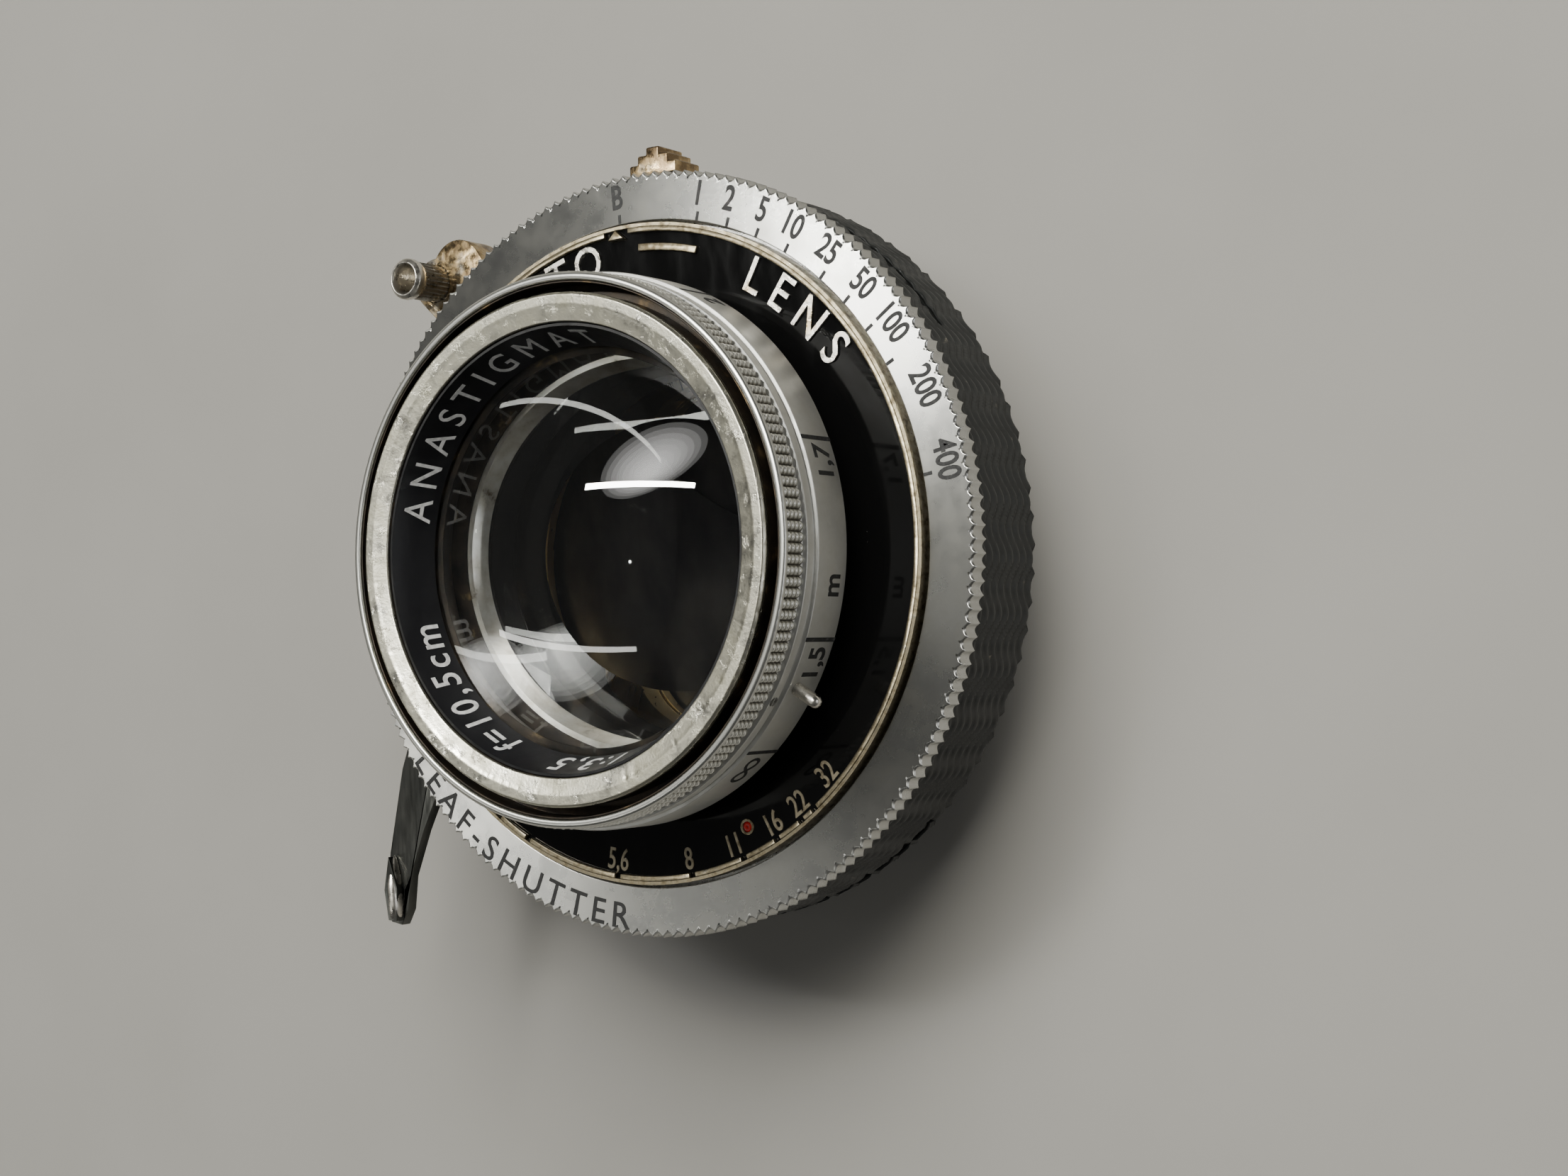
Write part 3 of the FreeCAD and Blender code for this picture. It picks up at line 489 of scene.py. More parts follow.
# ---------------------------------------------------------------- speed ring
# A turned ring of satin chromed brass that sets the speed. Its rim is cut with coarse teeth,
# and its face is engraved with the speeds, filled black.
TEETH = 186
TOOTH_DEPTH = 0.34
ring_low, ring_high = sizes("speed_ring")
RING_R, RING_TOP, RING_BACK = 29.75, ring_high[2], ring_low[2]
RING_BORE = 25.9


def satin_finish(name, lathe_mark=0.85, grey=0.6, gloss=(0.33, 0.23)):
    """Satin chrome over turned metal: marks run round the axis, so the noise reads only the
    distance from the axis and the height, and the highlight is drawn out across the marks."""
    finish, tree, shader = new_finish(name, (grey, grey, grey * 0.97), 1.0, 0.32)
    shader.inputs["Anisotropic"].default_value = lathe_mark
    shader.inputs["Anisotropic Rotation"].default_value = 0.25
    tangent = tree.nodes.new("ShaderNodeTangent")
    tangent.direction_type = "RADIAL"
    tangent.axis = "Z"
    tree.links.new(tangent.outputs["Tangent"], shader.inputs["Tangent"])
    rubs = mottle(tree, 0.35, detail=6, rough=0.6)
    colour_by(tree, shader, tint(tree, rubs, (0.3, (grey * 0.88, grey * 0.87, grey * 0.81)),
                                 (0.6, (grey, grey, grey * 0.96)),
                                 (0.75, (grey * 1.15, grey * 1.14, grey * 1.1))))
    gloss_by(tree, shader, level(tree, rubs, 0.3, 0.7, *gloss))
    relief(tree, shader, around_axis(tree, 14.0), 0.003)
    return finish


def axis_distance(tree):
    """Distance from the optical axis, in metres."""
    far = tree.nodes.new("ShaderNodeVectorMath")
    far.operation = "LENGTH"
    tree.links.new(place_of(tree, (1, 1, 0)), far.inputs[0])
    return far.outputs["Value"]


def around_axis(tree, per_mm):
    """Noise of the distance from the axis and the height only, which draws lathe marks."""
    parts = tree.nodes.new("ShaderNodeSeparateXYZ")
    tree.links.new(place_of(tree), parts.inputs[0])
    both = tree.nodes.new("ShaderNodeCombineXYZ")
    tree.links.new(axis_distance(tree), both.inputs[0])
    tree.links.new(parts.outputs["Z"], both.inputs[1])
    return mottle(tree, per_mm, both.outputs[0])


def toothed(t, r, z):
    """Lets the rim in between teeth by the size of the sine of half the tooth angle, which
    leaves sharp crests and round valleys."""
    share = np.clip((r - (RING_R - 0.5)) / 0.3, 0, 1)
    return r - TOOTH_DEPTH * share * np.abs(np.sin(TEETH * t / 2)), z + 0 * t


def speed_ring():
    outline = eased([(RING_BORE, RING_BACK), (RING_R, RING_BACK), (RING_R, RING_TOP - 0.12),
                     (RING_R - 0.16, RING_TOP), (RING_BORE, RING_TOP)], 0.07)
    corner = np.flatnonzero(outline[:, 0] > RING_R - 0.5)[-1] + 1
    outline = np.insert(outline, corner, [(RING_R - 0.52, RING_TOP), (RING_R - 0.7, RING_TOP)], 0)
    return turned("speed_setting_ring", outline, TEETH * 8, toothed)


satin = satin_finish("satin_chrome")
fit(speed_ring(), "speed_ring", satin, ["speed_ring"])


def black_fill_finish():
    """Black wax filler in the engraving, dull and a little chipped."""
    finish, tree, shader = new_finish("engraving_black", (0.015, 0.015, 0.015), 0.0, 0.6)
    colour_by(tree, shader, tint(tree, mottle(tree, 2.5, detail=5), (0.6, (0.012, 0.012, 0.012)),
                                 (0.78, (0.12, 0.12, 0.115))))
    gloss_by(tree, shader, level(tree, mottle(tree, 5.0), 0.3, 0.7, 0.45, 0.75))
    return finish


CAP_OF_SIZE = 0.729         # height of a capital, to a text size of one


def letters(words, height, squeeze=0.82, weight=0.0, depth=0.05, spacing=1.0):
    """Points and faces of a line of capitals: centred, lying in the XY plane, in millimetres."""
    text = bpy.data.curves.new("line", "FONT")
    text.body = words
    text.align_x = "CENTER"
    text.size = height / CAP_OF_SIZE
    text.offset = weight
    text.extrude = depth / 2
    text.space_character = spacing
    text.resolution_u = 4
    holder = bpy.data.objects.new("line", text)
    mesh = bpy.data.meshes.new_from_object(holder)
    points = np.empty(len(mesh.vertices) * 3)
    mesh.vertices.foreach_get("co", points)
    points = points.reshape(-1, 3) * (squeeze, 1, 1) - (0, height / 2, 0)
    faces = [tuple(face.vertices) for face in mesh.polygons]
    bpy.data.objects.remove(holder)
    bpy.data.curves.remove(text)
    bpy.data.meshes.remove(mesh)
    return points, faces


def stroke(x0, x1, y0, y1, depth=0.05):
    """Points and faces of a flat bar between two corners."""
    x, y, z = [np.array(side) for side in ((x0, x1), (y0, y1), (-depth / 2, depth / 2))]
    points = np.array(np.meshgrid(x, y, z, indexing="ij")).reshape(3, -1).T
    faces = [(0, 1, 3, 2), (4, 6, 7, 5), (0, 4, 5, 1), (2, 3, 7, 6), (0, 2, 6, 4), (1, 5, 7, 3)]
    return points, faces


def on_face(part, radius, clock, height, outward=True):
    """Lays points on a flat face: x runs round the axis and y along the radius, with the tops
    of the letters away from the axis or towards it."""
    points, faces = part
    way = 1 if outward else -1
    angle = np.radians(90 - clock) - way * points[:, 0] / radius
    r = radius + way * points[:, 1]
    return np.stack([r * np.cos(angle), r * np.sin(angle), height + points[:, 2]], -1), faces


def joined(name, parts):
    """One object from several lots of points and faces."""
    starts = np.cumsum([0] + [len(points) for points, _ in parts])
    faces = [tuple(int(n) + int(start) for n in face)
             for start, (_, some) in zip(starts, parts) for face in some]
    piece = solid(name, np.concatenate([points for points, _ in parts]), faces)
    piece.data.polygons.foreach_set("use_smooth", np.zeros(len(faces), bool))
    return piece


# Figure, its clock angle and the clock angle of its tick.
SPEEDS = (("B", -0.3, 0), ("1", 16.0, 16.5), ("2", 22.1, 22.9), ("5", 28.8, 29.3),
          ("10", 35.0, 35.9), ("25", 42.9, 44.5), ("50", 51.3, 50.8), ("100", 59.2, 57.2),
          ("200", 70.6, 64.1), ("400", 82.0, 83.4))
FIGURE_R, FIGURE_HEIGHT = 28.15, 1.95
TICK_R, TICK_WIDTH, TICK_LENGTH = RING_BORE + 0.4, 0.26, 0.72
speed_marks = []
for figure, clock, tick in SPEEDS:
    figures = letters(figure, FIGURE_HEIGHT, 0.76, 0.055)
    line = stroke(-TICK_WIDTH / 2, TICK_WIDTH / 2, -TICK_LENGTH / 2, TICK_LENGTH / 2)
    speed_marks.append(on_face(figures, FIGURE_R, clock, RING_TOP))
    speed_marks.append(on_face(line, TICK_R, tick, RING_TOP))
speed_marks.append(on_face(letters("LEAF-SHUTTER", 2.1, 1.05, 0.02, spacing=1.34), 28.2, -146.5,
                           RING_TOP, outward=False))
black_fill = black_fill_finish()
fit(joined("speed_figures", speed_marks), "speed_ring", black_fill)

# ---------------------------------------------------------------- faceplate
# A pressed brass plate under deep gloss black lacquer. The letters, the stop figures and the
# scale along its edge are left standing and polished back to the metal.


def lacquer_finish():
    """Deep gloss black lacquer with faint wipe marks and specks of dust."""
    finish, tree, shader = new_finish("gloss_lacquer", (0.006, 0.006, 0.006), 0.0, 0.06)
    dust = level(tree, mottle(tree, 3.2, detail=6, rough=0.7), 0.72, 0.78)
    colour_by(tree, shader, tint(tree, dust, (0, (0.004, 0.004, 0.004)), (1, (0.12, 0.12, 0.11))))
    wipes = mottle(tree, 0.5, place_of(tree, (1, 0.3, 1)), detail=4)
    gloss_by(tree, shader, level(tree, wipes, 0.35, 0.75, 0.05, 0.16))
    return finish


def dull_brass_finish(name="raised_brass", metallic=1.0):
    """Raised brass, nickelled once and dulled: grey-gold on top, brown in the pits."""
    finish, tree, shader = new_finish(name, (0.42, 0.38, 0.3), metallic, 0.36)
    pits = mottle(tree, 1.6, detail=6, rough=0.65)
    colour_by(tree, shader, tint(tree, pits, (0.36, (0.16, 0.13, 0.08)), (0.5, (0.36, 0.31, 0.21)),
                                 (0.66, (0.44, 0.39, 0.28)), (0.76, (0.8, 0.76, 0.66))))
    gloss_by(tree, shader, level(tree, pits, 0.3, 0.7, 0.5, 0.26))
    relief(tree, shader, pits, 0.02)
    return finish


FACE_TOP = sizes("faceplate")[1][2]
lacquer = lacquer_finish()
raised_brass = dull_brass_finish()
dress(lacquer, "faceplate")
dress(raised_brass, "face_rim")
softened("face_scale", "stop_scale", 0.08, "shutter", raised_brass, 2)

WORD_R, WORD_HEIGHT, WORD_RISE = 23.5, 2.85, 0.05
words = [on_face(letters(word, WORD_HEIGHT, 0.9, 0.02, 0.3, spacing), WORD_R, clock,
                 FACE_TOP + WORD_RISE)
         for word, clock, spacing in (("LENS", 44.3, 1.6), ("PHOTO", -22.0, 1.35))]
STOPS = (("5,6", -170.3), ("8", 173.3), ("11", 162.8), ("16", 153.3), ("22", 146.6),
         ("32", 138.5))
STOP_FIGURE_R, STOP_HEIGHT, STOP_RISE = 23.8, 1.75, 0.03
stops = [on_face(letters(figure, STOP_HEIGHT, 0.7, 0.015, 0.1), STOP_FIGURE_R, clock,
                 FACE_TOP + STOP_RISE, outward=False) for figure, clock in STOPS]
letter_nickel = worn_nickel_finish("letter_nickel", 0.66)
fit(joined("raised_letters", words), "shutter", letter_nickel)
fit(joined("stop_figures", stops), "shutter",
    dull_brass_finish("figure_brass", 0.3))

DOT_CLOCK, DOT_R, DOT_RING_R = 158.6, 23.1, 0.62
dot_angle = np.radians(90 - DOT_CLOCK)


def snapshot_dot(name, outline):
    """Small body of revolution whose axis stands on the faceplate at the dot."""
    t = np.linspace(0, TURN, 32, endpoint=False)[:, None]
    r, z = np.array(outline).T[:, None, :]
    grid = np.stack([DOT_R * np.cos(dot_angle) + r * np.cos(t),
                     DOT_R * np.sin(dot_angle) + r * np.sin(t), FACE_TOP + z + 0 * t], -1)
    return surface(name, grid, ring=True, loop=True)


def red_enamel_finish():
    """Red enamel, slightly crazed."""
    finish, tree, shader = new_finish("red_enamel", (0.35, 0.02, 0.015), 0.0, 0.3)
    colour_by(tree, shader, tint(tree, mottle(tree, 3.0), (0.3, (0.32, 0.008, 0.006)),
                                 (0.7, (0.5, 0.018, 0.012))))
    relief(tree, shader, mottle(tree, 6.0), 0.01)
    return finish


DOT_BEZEL = [(0.4, -0.05), (DOT_RING_R, -0.05), (DOT_RING_R, 0.08), (0.4, 0.08)]
DOT_ENAMEL = [(0.005, -0.05), (0.42, -0.05), (0.4, 0.03), (0.25, 0.07), (0.005, 0.08)]
fit(snapshot_dot("dot_bezel", eased(DOT_BEZEL, 0.04)), "shutter", raised_brass)
fit(snapshot_dot("dot_enamel", DOT_ENAMEL), "shutter", red_enamel_finish())

# ---------------------------------------------------------------- middle and rear cells
# Blackened brass cells screwed into the two ends of the tube. The middle cell holds the hollow
# element under a bright screwed ring, and the rear cell holds the cemented pair.


def glass_finish():
    """Uncoated optical glass, polished, with a trace of haze."""
    finish, tree, shader = new_finish("optical_glass", (0.96, 0.97, 0.96), 0.0, 0.0)
    shader.inputs["Transmission Weight"].default_value = 1.0
    shader.inputs["IOR"].default_value = 1.58
    gloss_by(tree, shader, level(tree, mottle(tree, 0.2, detail=5), 0.62, 0.8, 0.0, 0.05))
    return finish


def turned_silver_finish():
    """Bright turned ring: clean metal with lathe marks and brown tarnish stains."""
    finish, tree, shader = new_finish("turned_silver", (0.75, 0.74, 0.7), 1.0, 0.3)
    stains = mottle(tree, 0.5, detail=6, rough=0.65)
    colour_by(tree, shader, tint(tree, stains, (0.4, (0.8, 0.79, 0.75)), (0.62, (0.6, 0.57, 0.5)),
                                 (0.72, (0.2, 0.16, 0.12))))
    relief(tree, shader, around_axis(tree, 5.0), 0.01)
    return finish


glass = glass_finish()
turned_silver = turned_silver_finish()
dress(blackened, "middle_cell")
dress(turned_silver, "middle_retainer", "rear_retainer")
dress(glass, "front_element", "middle_element", "rear_element_front", "rear_element_back")

REAR_TEETH = 120


def rear_cell():
    """Turned cell whose outside is coined between two plain bands: the radius falls by a
    rectified sine of the angle between the bands."""
    low, high = sizes("rear_cell")
    seat_r, out_r, foot, top = 14.75, high[0], low[2], high[2]
    outline = [(13.0, foot + 0.4), (13.3, foot), (out_r - 0.3, foot), (out_r, foot + 0.3),
               (out_r, foot + 1.0), (out_r, foot + 1.15), (out_r, -5.75), (out_r, -5.6),
               (out_r, -4.45), (seat_r, -4.45), (seat_r, top), (12.9, top), (12.9, -1.4),
               (12.2, -1.6), (12.2, -2.4), (13.0, -2.6)]

    def coined(t, r, z):
        band = (r > out_r - 0.05) & (z > foot + 1.1) & (z < -5.65)
        return r - 0.16 * band * np.abs(np.sin(REAR_TEETH * t / 2)), z + 0 * t

    return turned("rear_lens_cell", eased(outline, 0.06, 3), REAR_TEETH * 6, coined)


fit(rear_cell(), "shutter", blackened, ["rear_cell"])

# ---------------------------------------------------------------- front cell
# Satin chromed brass, the part most handled: its rim is dented and its plate has flaked at
# the edges. Inside, the black name ring holds the front element.
RIM_R, _, RIM_FRONT = sizes("front_cell")[1]


def dents(t, seed, count, spread):
    """Sum of small smooth hollows at seeded places round the rim, each a bell curve of the
    angle."""
    draw = np.random.default_rng(seed)
    places = draw.uniform(0, TURN, count)
    widths = draw.uniform(0.004, 0.03, count) * spread
    depths = draw.uniform(0.2, 1.0, count)
    away = (t[..., None] - places + np.pi) % TURN - np.pi
    return (depths * np.exp(-(away / widths) ** 2)).sum(-1)


def worn_chrome_finish():
    """Satin chrome gone dull and yellowish, with bright chips where the plate has flaked."""
    finish, tree, shader = new_finish("worn_chrome", (0.5, 0.49, 0.44), 1.0, 0.36)
    patches = mottle(tree, 0.45, detail=7, rough=0.68)
    colour_by(tree, shader, tint(tree, patches, (0.34, (0.37, 0.355, 0.28)),
                                 (0.5, (0.55, 0.53, 0.44)), (0.6, (0.64, 0.62, 0.53)),
                                 (0.7, (0.82, 0.8, 0.73))))
    gloss_by(tree, shader, level(tree, patches, 0.4, 0.68, 0.44, 0.2))
    flakes = level(tree, mottle(tree, 0.7, detail=7, rough=0.7), 0.56, 0.62)
    relief(tree, shader, sums(tree, "ADD", flakes, mottle(tree, 5.0)), 0.012)
    return finish


def cell_body():
    outline = eased([(14.5, 12.2), (16.15, 12.2), (16.15, 15.25), (18.55, 15.25), (18.55, 18.4),
                     (RIM_R - 0.08, 18.7), (RIM_R - 0.08, 20.6), (16.87, 20.6), (16.85, 16.3),
                     (16.1, 16.3), (16.1, 15.6), (14.5, 15.6)], 0.08)
    return turned("front_cell_body", outline, 300)


CREASE_R = 17.97            # the step from the bezel's flat to its inner slope
DENT_DEPTH = 0.03
RIM_KNOCK = 0.04


def bezel():
    outline = eased([(16.88, 20.55), (RIM_R, 20.55), (RIM_R, RIM_FRONT - 0.22),
                     (RIM_R - 0.2, RIM_FRONT), (18.15, RIM_FRONT - 0.02), (17.85, 21.0),
                     (16.95, 20.82), (16.88, 20.75)], 0.08)

    def knocked(t, r, z):
        crease = np.exp(-((r - CREASE_R) / 0.22) ** 2) * (z > 20)
        rim = np.exp(-((r - RIM_R) / 0.15) ** 2) * (z > 20.6)
        drop = DENT_DEPTH * (crease * dents(t, 5, 80, 0.5) + rim * dents(t, 9, 40, 0.7))
        return r - RIM_KNOCK * rim * dents(t, 12, 30, 0.8), z - drop

    return turned("front_bezel", outline, 900, knocked)


worn_chrome = worn_chrome_finish()
fit(cell_body(), "front_mount", blackened, ["front_cell"])
fit(bezel(), "front_mount", worn_chrome)


def name_black_finish():
    """Satin black anodised cone."""
    finish, tree, shader = new_finish("name_black", (0.006, 0.006, 0.007), 0.0, 0.35)
    gloss_by(tree, shader, level(tree, mottle(tree, 0.8), 0.3, 0.7, 0.28, 0.42))
    relief(tree, shader, around_axis(tree, 6.0), 0.003)
    return finish


def white_fill_finish():
    """Greyed white filler in the engraved letters."""
    finish, tree, shader = new_finish("engraving_white", (0.6, 0.6, 0.58), 0.0, 0.5)
    colour_by(tree, shader, tint(tree, mottle(tree, 2.0, detail=4), (0.3, (0.38, 0.38, 0.37)),
                                 (0.6, (0.62, 0.62, 0.6))))
    gloss_by(tree, shader, level(tree, mottle(tree, 4.0), 0.3, 0.7, 0.4, 0.6))
    return finish


CONE = ((15.44, 16.95), (16.6, 20.55))     # radius and height at its two ends


def on_cone(part, share, clock):
    """Lays points on the inside of the cone: x runs clockwise round it and y up its slope."""
    points, faces = part
    ends = np.array(CONE)
    slope = (ends[1] - ends[0]) / np.linalg.norm(ends[1] - ends[0])
    middle = ends[0] + share * (ends[1] - ends[0])
    angle = np.radians(90 - clock) - points[:, 0] / middle[0]
    r = middle[0] + points[:, 1] * slope[0] - points[:, 2] * slope[1]
    z = middle[1] + points[:, 1] * slope[1] + points[:, 2] * slope[0]
    return np.stack([r * np.cos(angle), r * np.sin(angle), z], -1), faces


dress(name_black_finish(), "name_ring")
NAME_HEIGHT = 2.5
# Line, clock angle, squeeze, weight and spacing. The M fills up at any weight but none.
NAME_LINES = (("ANASTIGMAT", -32.0, 0.84, 0.0, 1.53), ("f=10,5cm", -129.5, 0.86, 0.035, 1.24),
              ("1:3,5", 179.0, 0.86, 0.035, 1.2))
names = [on_cone(letters(line, NAME_HEIGHT, squeeze, weight, 0.05, spacing), 0.5, clock)
         for line, clock, squeeze, weight, spacing in NAME_LINES]
fit(joined("name_letters", names), "front_mount", white_fill_finish())

# ---------------------------------------------------------------- focusing ring
# A satin aluminium ring clamped round the front cell by three grub screws. Its front band is
# knurled into rows of beads, and its skirt carries the distances.
KNURLS = 163
BEAD_ROWS = 4
KNURL_Z = (18.42, 20.42)
skirt_low, skirt_high = sizes("focus_ring")
SKIRT_R, SKIRT_REAR, FOCUS_FRONT = 21.0, skirt_low[2], skirt_high[2]
BAND_R = 20.75
BEAD_DEPTH = 0.36


def focusing_skirt():
    outline = eased([(18.6, 16.6), (SKIRT_R - 0.6, 16.6), (SKIRT_R - 0.6, SKIRT_REAR),
                     (SKIRT_R, SKIRT_REAR), (SKIRT_R, 17.15), (BAND_R - 0.12, 17.25),
                     (BAND_R, 17.4), (BAND_R, 18.2), (BAND_R - 0.35, 18.35),
                     (BAND_R - 0.35, 18.5), (18.6, 18.5)], 0.05)
    return turned("focusing_skirt", outline, 480)


def knurled_band():
    """Closed band whose outside is a field of beads: the depth of a cut is one less the product
    of a rounded wave of the angle and a rounded wave of the height."""
    knurl_low, knurl_high = KNURL_Z
    lines = np.linspace(knurl_low, knurl_high, BEAD_ROWS * 6 + 1)
    outside = np.stack([np.full(len(lines), BAND_R - 0.05), lines], -1)
    lip = [(BAND_R - 0.12, 20.5), (20.45, FOCUS_FRONT - 0.04), (20.35, FOCUS_FRONT),
           (20.1, FOCUS_FRONT), (20.0, FOCUS_FRONT - 0.06), (19.95, 20.4), (19.95, 18.2),
           (20.3, 18.2), (BAND_R - 0.4, 18.36)]
    outline = np.concatenate([outside, lip])

    def beaded(t, r, z):
        inside = (z >= knurl_low) & (z <= knurl_high) & (r > BAND_R - 0.1)
        rise = (z - knurl_low) / (knurl_high - knurl_low)
        tooth = np.abs(np.sin(KNURLS * t / 2)) ** 0.6
        row = np.abs(np.sin(np.pi * BEAD_ROWS * rise)) ** 0.5
        return r - inside * BEAD_DEPTH * (1 - tooth * (0.5 + 0.5 * row)), z + 0 * t

    return turned("knurled_band", outline, KNURLS * 8, beaded)


def groove_liner():
    outline = [(18.6, 18.42), (19.92, 18.42), (19.92, 20.5), (19.8, 20.5), (19.8, 18.62),
               (18.6, 18.62)]
    return turned("groove_liner", eased(outline, 0.03, 3), 300)


def knurl_finish():
    """Satin aluminium with painted shade in the cuts: below the tops of the beads it is coloured
    dark to stand in for shade.
    """
    finish, tree, shader = new_finish("knurl_painted_shade", (0.6, 0.6, 0.57), 1.0, 0.35)
    parts = tree.nodes.new("ShaderNodeSeparateXYZ")
    tree.links.new(place_of(tree), parts.inputs[0])
    clean = level(tree, parts.outputs["Z"], KNURL_Z[1] * MM, (KNURL_Z[1] + 0.05) * MM)
    tops = level(tree, axis_distance(tree), (BAND_R - 0.4) * MM, (BAND_R - 0.14) * MM)
    tops = sums(tree, "MAXIMUM", tops, clean)
    # painted shade: the cuts between the beads are coloured near black, while clean marks the lip
    # above the knurl, which is left unshaded.
    colour_by(tree, shader, tint(tree, tops, (0, (0.035, 0.03, 0.022)), (0.55, (0.3, 0.29, 0.25)),
                                 (0.9, (0.7, 0.7, 0.66))))
    gloss_by(tree, shader, level(tree, tops, 0, 1, 0.6, 0.3))
    return finish


focus_satin = satin_finish("focus_satin", 0.3, 0.72, (0.55, 0.4))
fit(focusing_skirt(), "front_mount", focus_satin, ["focus_ring"])
fit(knurled_band(), "front_mount", knurl_finish())
fit(groove_liner(), "front_mount", blackened)


def on_skirt(part, clock, height):
    """Lays points on the skirt with the tops of the letters towards the front: x runs
    anticlockwise round it and y up it."""
    points, faces = part
    angle = np.radians(90 - clock) + points[:, 0] / SKIRT_R
    r = SKIRT_R + points[:, 2]
    return np.stack([r * np.cos(angle), r * np.sin(angle), height + points[:, 1]], -1), faces


def infinity_sign(width, thick, steps=48):
    """Ribbon along a figure of eight: x = a cos t / (1 + sin^2 t) and
    y = 1.3 a sin t cos t / (1 + sin^2 t), moved half its thickness to each side along the
    normal."""
    t = np.linspace(0, TURN, steps, endpoint=False)
    a = width / 2 / (1 + np.sin(t) ** 2)
    path = np.stack([a * np.cos(t), 1.3 * a * np.sin(t) * np.cos(t)], -1)
    along = np.roll(path, -1, 0) - np.roll(path, 1, 0)
    normal = np.stack([-along[:, 1], along[:, 0]], -1)
    normal *= thick / 2 / np.linalg.norm(normal, axis=1, keepdims=True)
    corners = [np.c_[path + side * normal, np.full(steps, up)] for side, up in
               ((-1, -0.025), (1, -0.025), (1, 0.025), (-1, 0.025))]
    points = np.stack(corners, 1).reshape(-1, 3)
    i = np.arange(steps)[:, None]
    j = np.arange(4)[None, :]
    after, across = (i + 1) % steps, (j + 1) % 4
    faces = np.stack([i * 4 + j, i * 4 + across, after * 4 + across, after * 4 + j], -1)
    return points, faces.reshape(-1, 4).tolist()


# Figure, its clock angle and the clock angle of its line.
DISTANCES = (("1,5", 118.4, 113.3), ("m", 102.5, None), ("1,7", 78.3, 73.2), ("2", 34.5, 29.9),
             ("2,5", -14.4, -20.2), ("3", -49.0, -53.5), ("4", -90.6, -95.2), ("5", -115.7, -120.3),
             ("10", -164.6, -170.3))
MARK_Z, LINE_HALF_WIDTH, LINE_HALF_LENGTH = 15.3, 0.16, 1.85
INFINITY_LINE, INFINITY_CLOCK = 139.6, 145.2


def distance_line(clock):
    line = stroke(-LINE_HALF_WIDTH, LINE_HALF_WIDTH, -LINE_HALF_LENGTH, LINE_HALF_LENGTH)
    return on_skirt(line, clock, MARK_Z)


skirt_marks = []
for figure, clock, line in DISTANCES:
    skirt_marks.append(on_skirt(letters(figure, FIGURE_HEIGHT, 0.85, 0.06), clock, MARK_Z - 0.05))
    if line is not None:
        skirt_marks.append(distance_line(line))
skirt_marks.append(distance_line(INFINITY_LINE))
skirt_marks.append(on_skirt(infinity_sign(2.6, 0.28), INFINITY_CLOCK, MARK_Z))
fit(joined("distance_figures", skirt_marks), "front_mount", black_fill)

# ---------------------------------------------------------------- stop pin and grub screws
# The steel pin that stops the ring at the ends of its travel has a domed end. The slotted
# grub screws sit flush with the plain band.


def radial_turning(name, clock, height, outline, steps=40):
    """Body of revolution about a line that leaves the axis at a clock angle. The outline is
    (radius about that line, distance from the axis)."""
    a = np.radians(90 - clock)
    out, side = np.array([np.cos(a), np.sin(a), 0]), np.array([-np.sin(a), np.cos(a), 0])
    t = np.linspace(0, TURN, steps, endpoint=False)[:, None, None]
    r, d = np.array(outline, float).T[:, None, :, None]
    up = np.array([0, 0, 1])
    grid = d * out + r * (np.cos(t) * side + np.sin(t) * up) + height * up
    return surface(name, grid, ring=True, loop=True)


STOP_CLOCK, STOP_Z, STOP_R, STOP_START, STOP_END = 123.7, 16.1, 0.5, 20.4, 23.3
NEAR_AXIS = 0.002
bow = np.linspace(0, np.pi / 2, 8)
dome = np.stack([STOP_R * np.cos(bow) + NEAR_AXIS,
                 STOP_END - STOP_R + STOP_R * np.sin(bow)], -1)
stop_outline = np.concatenate([[(NEAR_AXIS, STOP_START), (STOP_R, STOP_START)], dome])
fit(radial_turning("focus_stop", STOP_CLOCK, STOP_Z, stop_outline), "front_mount",
    bright_nickel, ["stop_pin"])

SCREW_CLOCKS, SCREW_Z = (7, -113, 127), 17.8
SCREW_R, SLOT_HALF, SCREW_FOOT, SCREW_HEAD = 0.38, 0.06, -0.12, 0.03
ARC = 13                    # points round the rim of half a screw
screw_parts = []
for clock in SCREW_CLOCKS:
    for side in (-1, 1):
        half = np.linspace(0, np.pi, ARC)
        rim = np.stack([SCREW_R * np.cos(half),
                        side * (SLOT_HALF + (SCREW_R - SLOT_HALF) * np.sin(half))], -1)
        points = np.concatenate([np.c_[rim, np.full(ARC, SCREW_FOOT)],
                                 np.c_[rim, np.full(ARC, SCREW_HEAD)]])
        ring_faces = [(k, (k + 1) % ARC, ARC + (k + 1) % ARC, ARC + k)[::side]
                      for k in range(ARC)]
        caps = [tuple(range(ARC))[::-side], tuple(range(ARC, 2 * ARC))[::side]]
        points = points + (0, 0, BAND_R - SKIRT_R)
        screw_parts.append(on_skirt((points, ring_faces + caps), clock, SCREW_Z))
fit(joined("grub_screws", screw_parts), "front_mount", steel, ["focus_screws"])

# ---------------------------------------------------------------- bench, lights and camera
# The shutter lies on a pale warm-grey card under one broad soft lamp from above and beyond. Two
# tube lamps, a glow on the ceiling and a far bulb are mirrored in the glass and the metal.
low, high = [np.array(corner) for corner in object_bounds()]
bpy.ops.mesh.primitive_plane_add(size=3.0, location=(0, 0, low[2]))
card = bpy.context.object
card.name = "card"
card_grey, tree, shader = new_finish("card_grey", (0.42, 0.41, 0.385), 0.0, 0.75)
colour_by(tree, shader, tint(tree, mottle(tree, 0.03, detail=4), (0.3, (0.4, 0.388, 0.355)),
                             (0.7, (0.43, 0.418, 0.385))))
card.data.materials.append(card_grey)


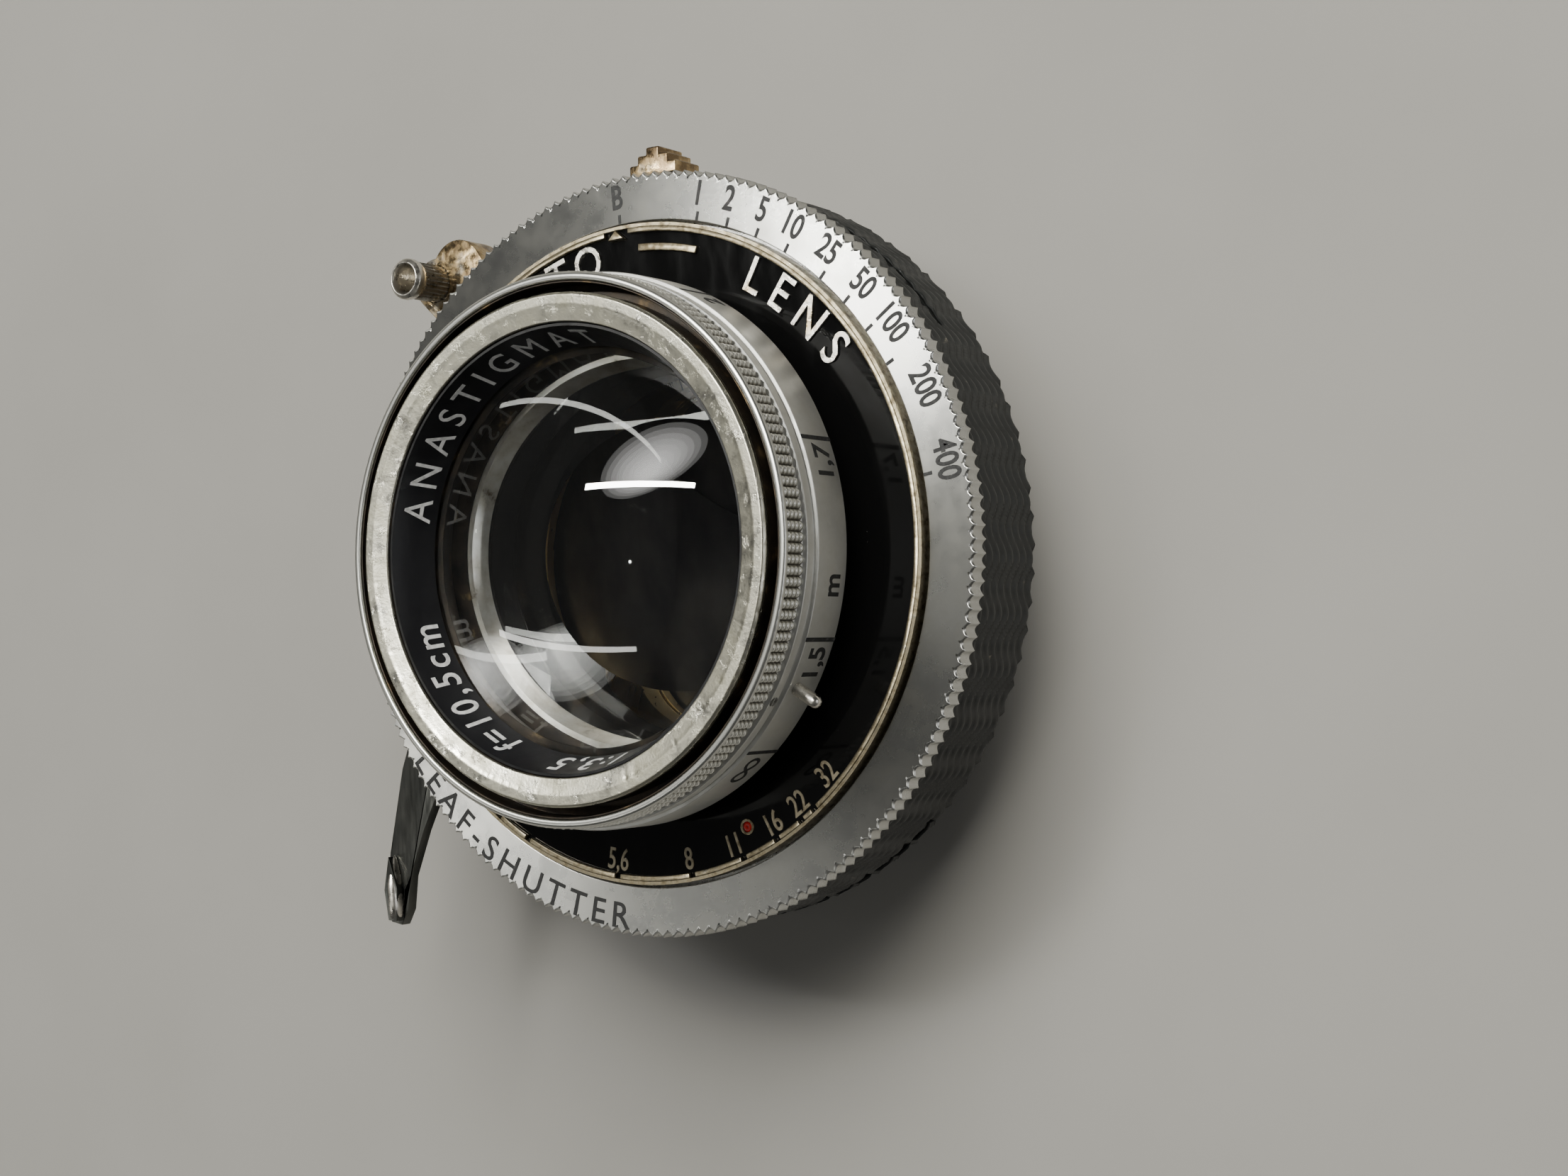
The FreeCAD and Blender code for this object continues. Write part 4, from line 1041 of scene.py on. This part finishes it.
def lamp(name, direction, distance, size, power, colour=(1, 0.995, 0.94)):
    """Area lamp at a distance from the middle of the object, facing it."""
    light = bpy.data.lights.new(name, "AREA")
    light.shape = "RECTANGLE"
    light.size, light.size_y = size
    light.energy = power
    light.color = colour
    holder = bpy.data.objects.new(name, light)
    bpy.context.scene.collection.objects.link(holder)
    away = Vector(direction).normalized()
    holder.location = away * distance + Vector((0, 0, 0.012))
    holder.rotation_euler = away.to_track_quat("Z", "Y").to_euler()
    return holder


def tube(name, start, end, distance, power):
    """Tube lamp strung between two directions seen from the object, at a distance. It shows in
    shiny surfaces and doesn't light matt ones."""
    ends = [Vector(way).normalized() * distance for way in (start, end)]
    along, middle = ends[1] - ends[0], (ends[0] + ends[1]) / 2
    holder = lamp(name, middle, distance, (along.length, 0.02), power)
    away = middle.normalized()
    across = away.cross(along.normalized()).normalized()
    holder.location = middle
    holder.visible_diffuse = False
    holder.rotation_euler = Matrix((across.cross(away), across, away)).transposed().to_euler()


GLOW_STEPS = 8              # ellipses laid over each other, so the glow fades at its edge
tube("tube_high", (-0.478, 0.318, 0.819), (0.059, 0.303, 0.951), 0.8, 6.0)
tube("tube_low", (-0.899, -0.146, 0.413), (-0.306, -0.36, 0.881), 0.9, 0.5)
for spread in np.linspace(1.0, 0.2, GLOW_STEPS):
    glow = lamp("ceiling_glow", (-0.16, 0.42 - 0.07 * (1 - spread), 0.87), 0.9,
                (0.5 * spread, 0.26 * spread), 0.5 * spread ** 2, (1.0, 0.99, 0.96))
    glow.data.shape = "ELLIPSE"
room = lamp("room_bounce", (0.3, 0.62, 0.75), 1.1, (0.8, 0.8), 17.0, (1.0, 0.985, 0.94))
room.visible_glossy = False
lamp("far_bulb", (-0.272, -0.001, 0.962), 0.8, (0.008, 0.008), 0.03)
lamp("side_fill", (0.9, -0.1, 0.38), 1.1, (0.6, 0.3), 1.4, (0.97, 0.98, 1.0))
world = bpy.data.worlds.new("room")
world.use_nodes = True
world.node_tree.nodes["Background"].inputs["Color"].default_value = (0.9, 0.9, 0.87, 1)
world.node_tree.nodes["Background"].inputs["Strength"].default_value = 0.07
bpy.context.scene.world = world

EYE = (0.1109, -0.0153, 0.1554)
RIGHT, UP, BACK = (0.8246, -0.0707, -0.5613), (0.0948, 0.9954, 0.0139), (0.5577, -0.0647, 0.8275)
camera_data = bpy.data.cameras.new("camera")
camera_data.lens = 54.08
camera_data.sensor_width = 36.0
camera_data.clip_start = 0.01
camera = bpy.data.objects.new("camera", camera_data)
bpy.context.scene.collection.objects.link(camera)
camera.location = EYE
camera.rotation_euler = Matrix((RIGHT, UP, BACK)).transposed().to_euler()
bpy.context.scene.camera = camera
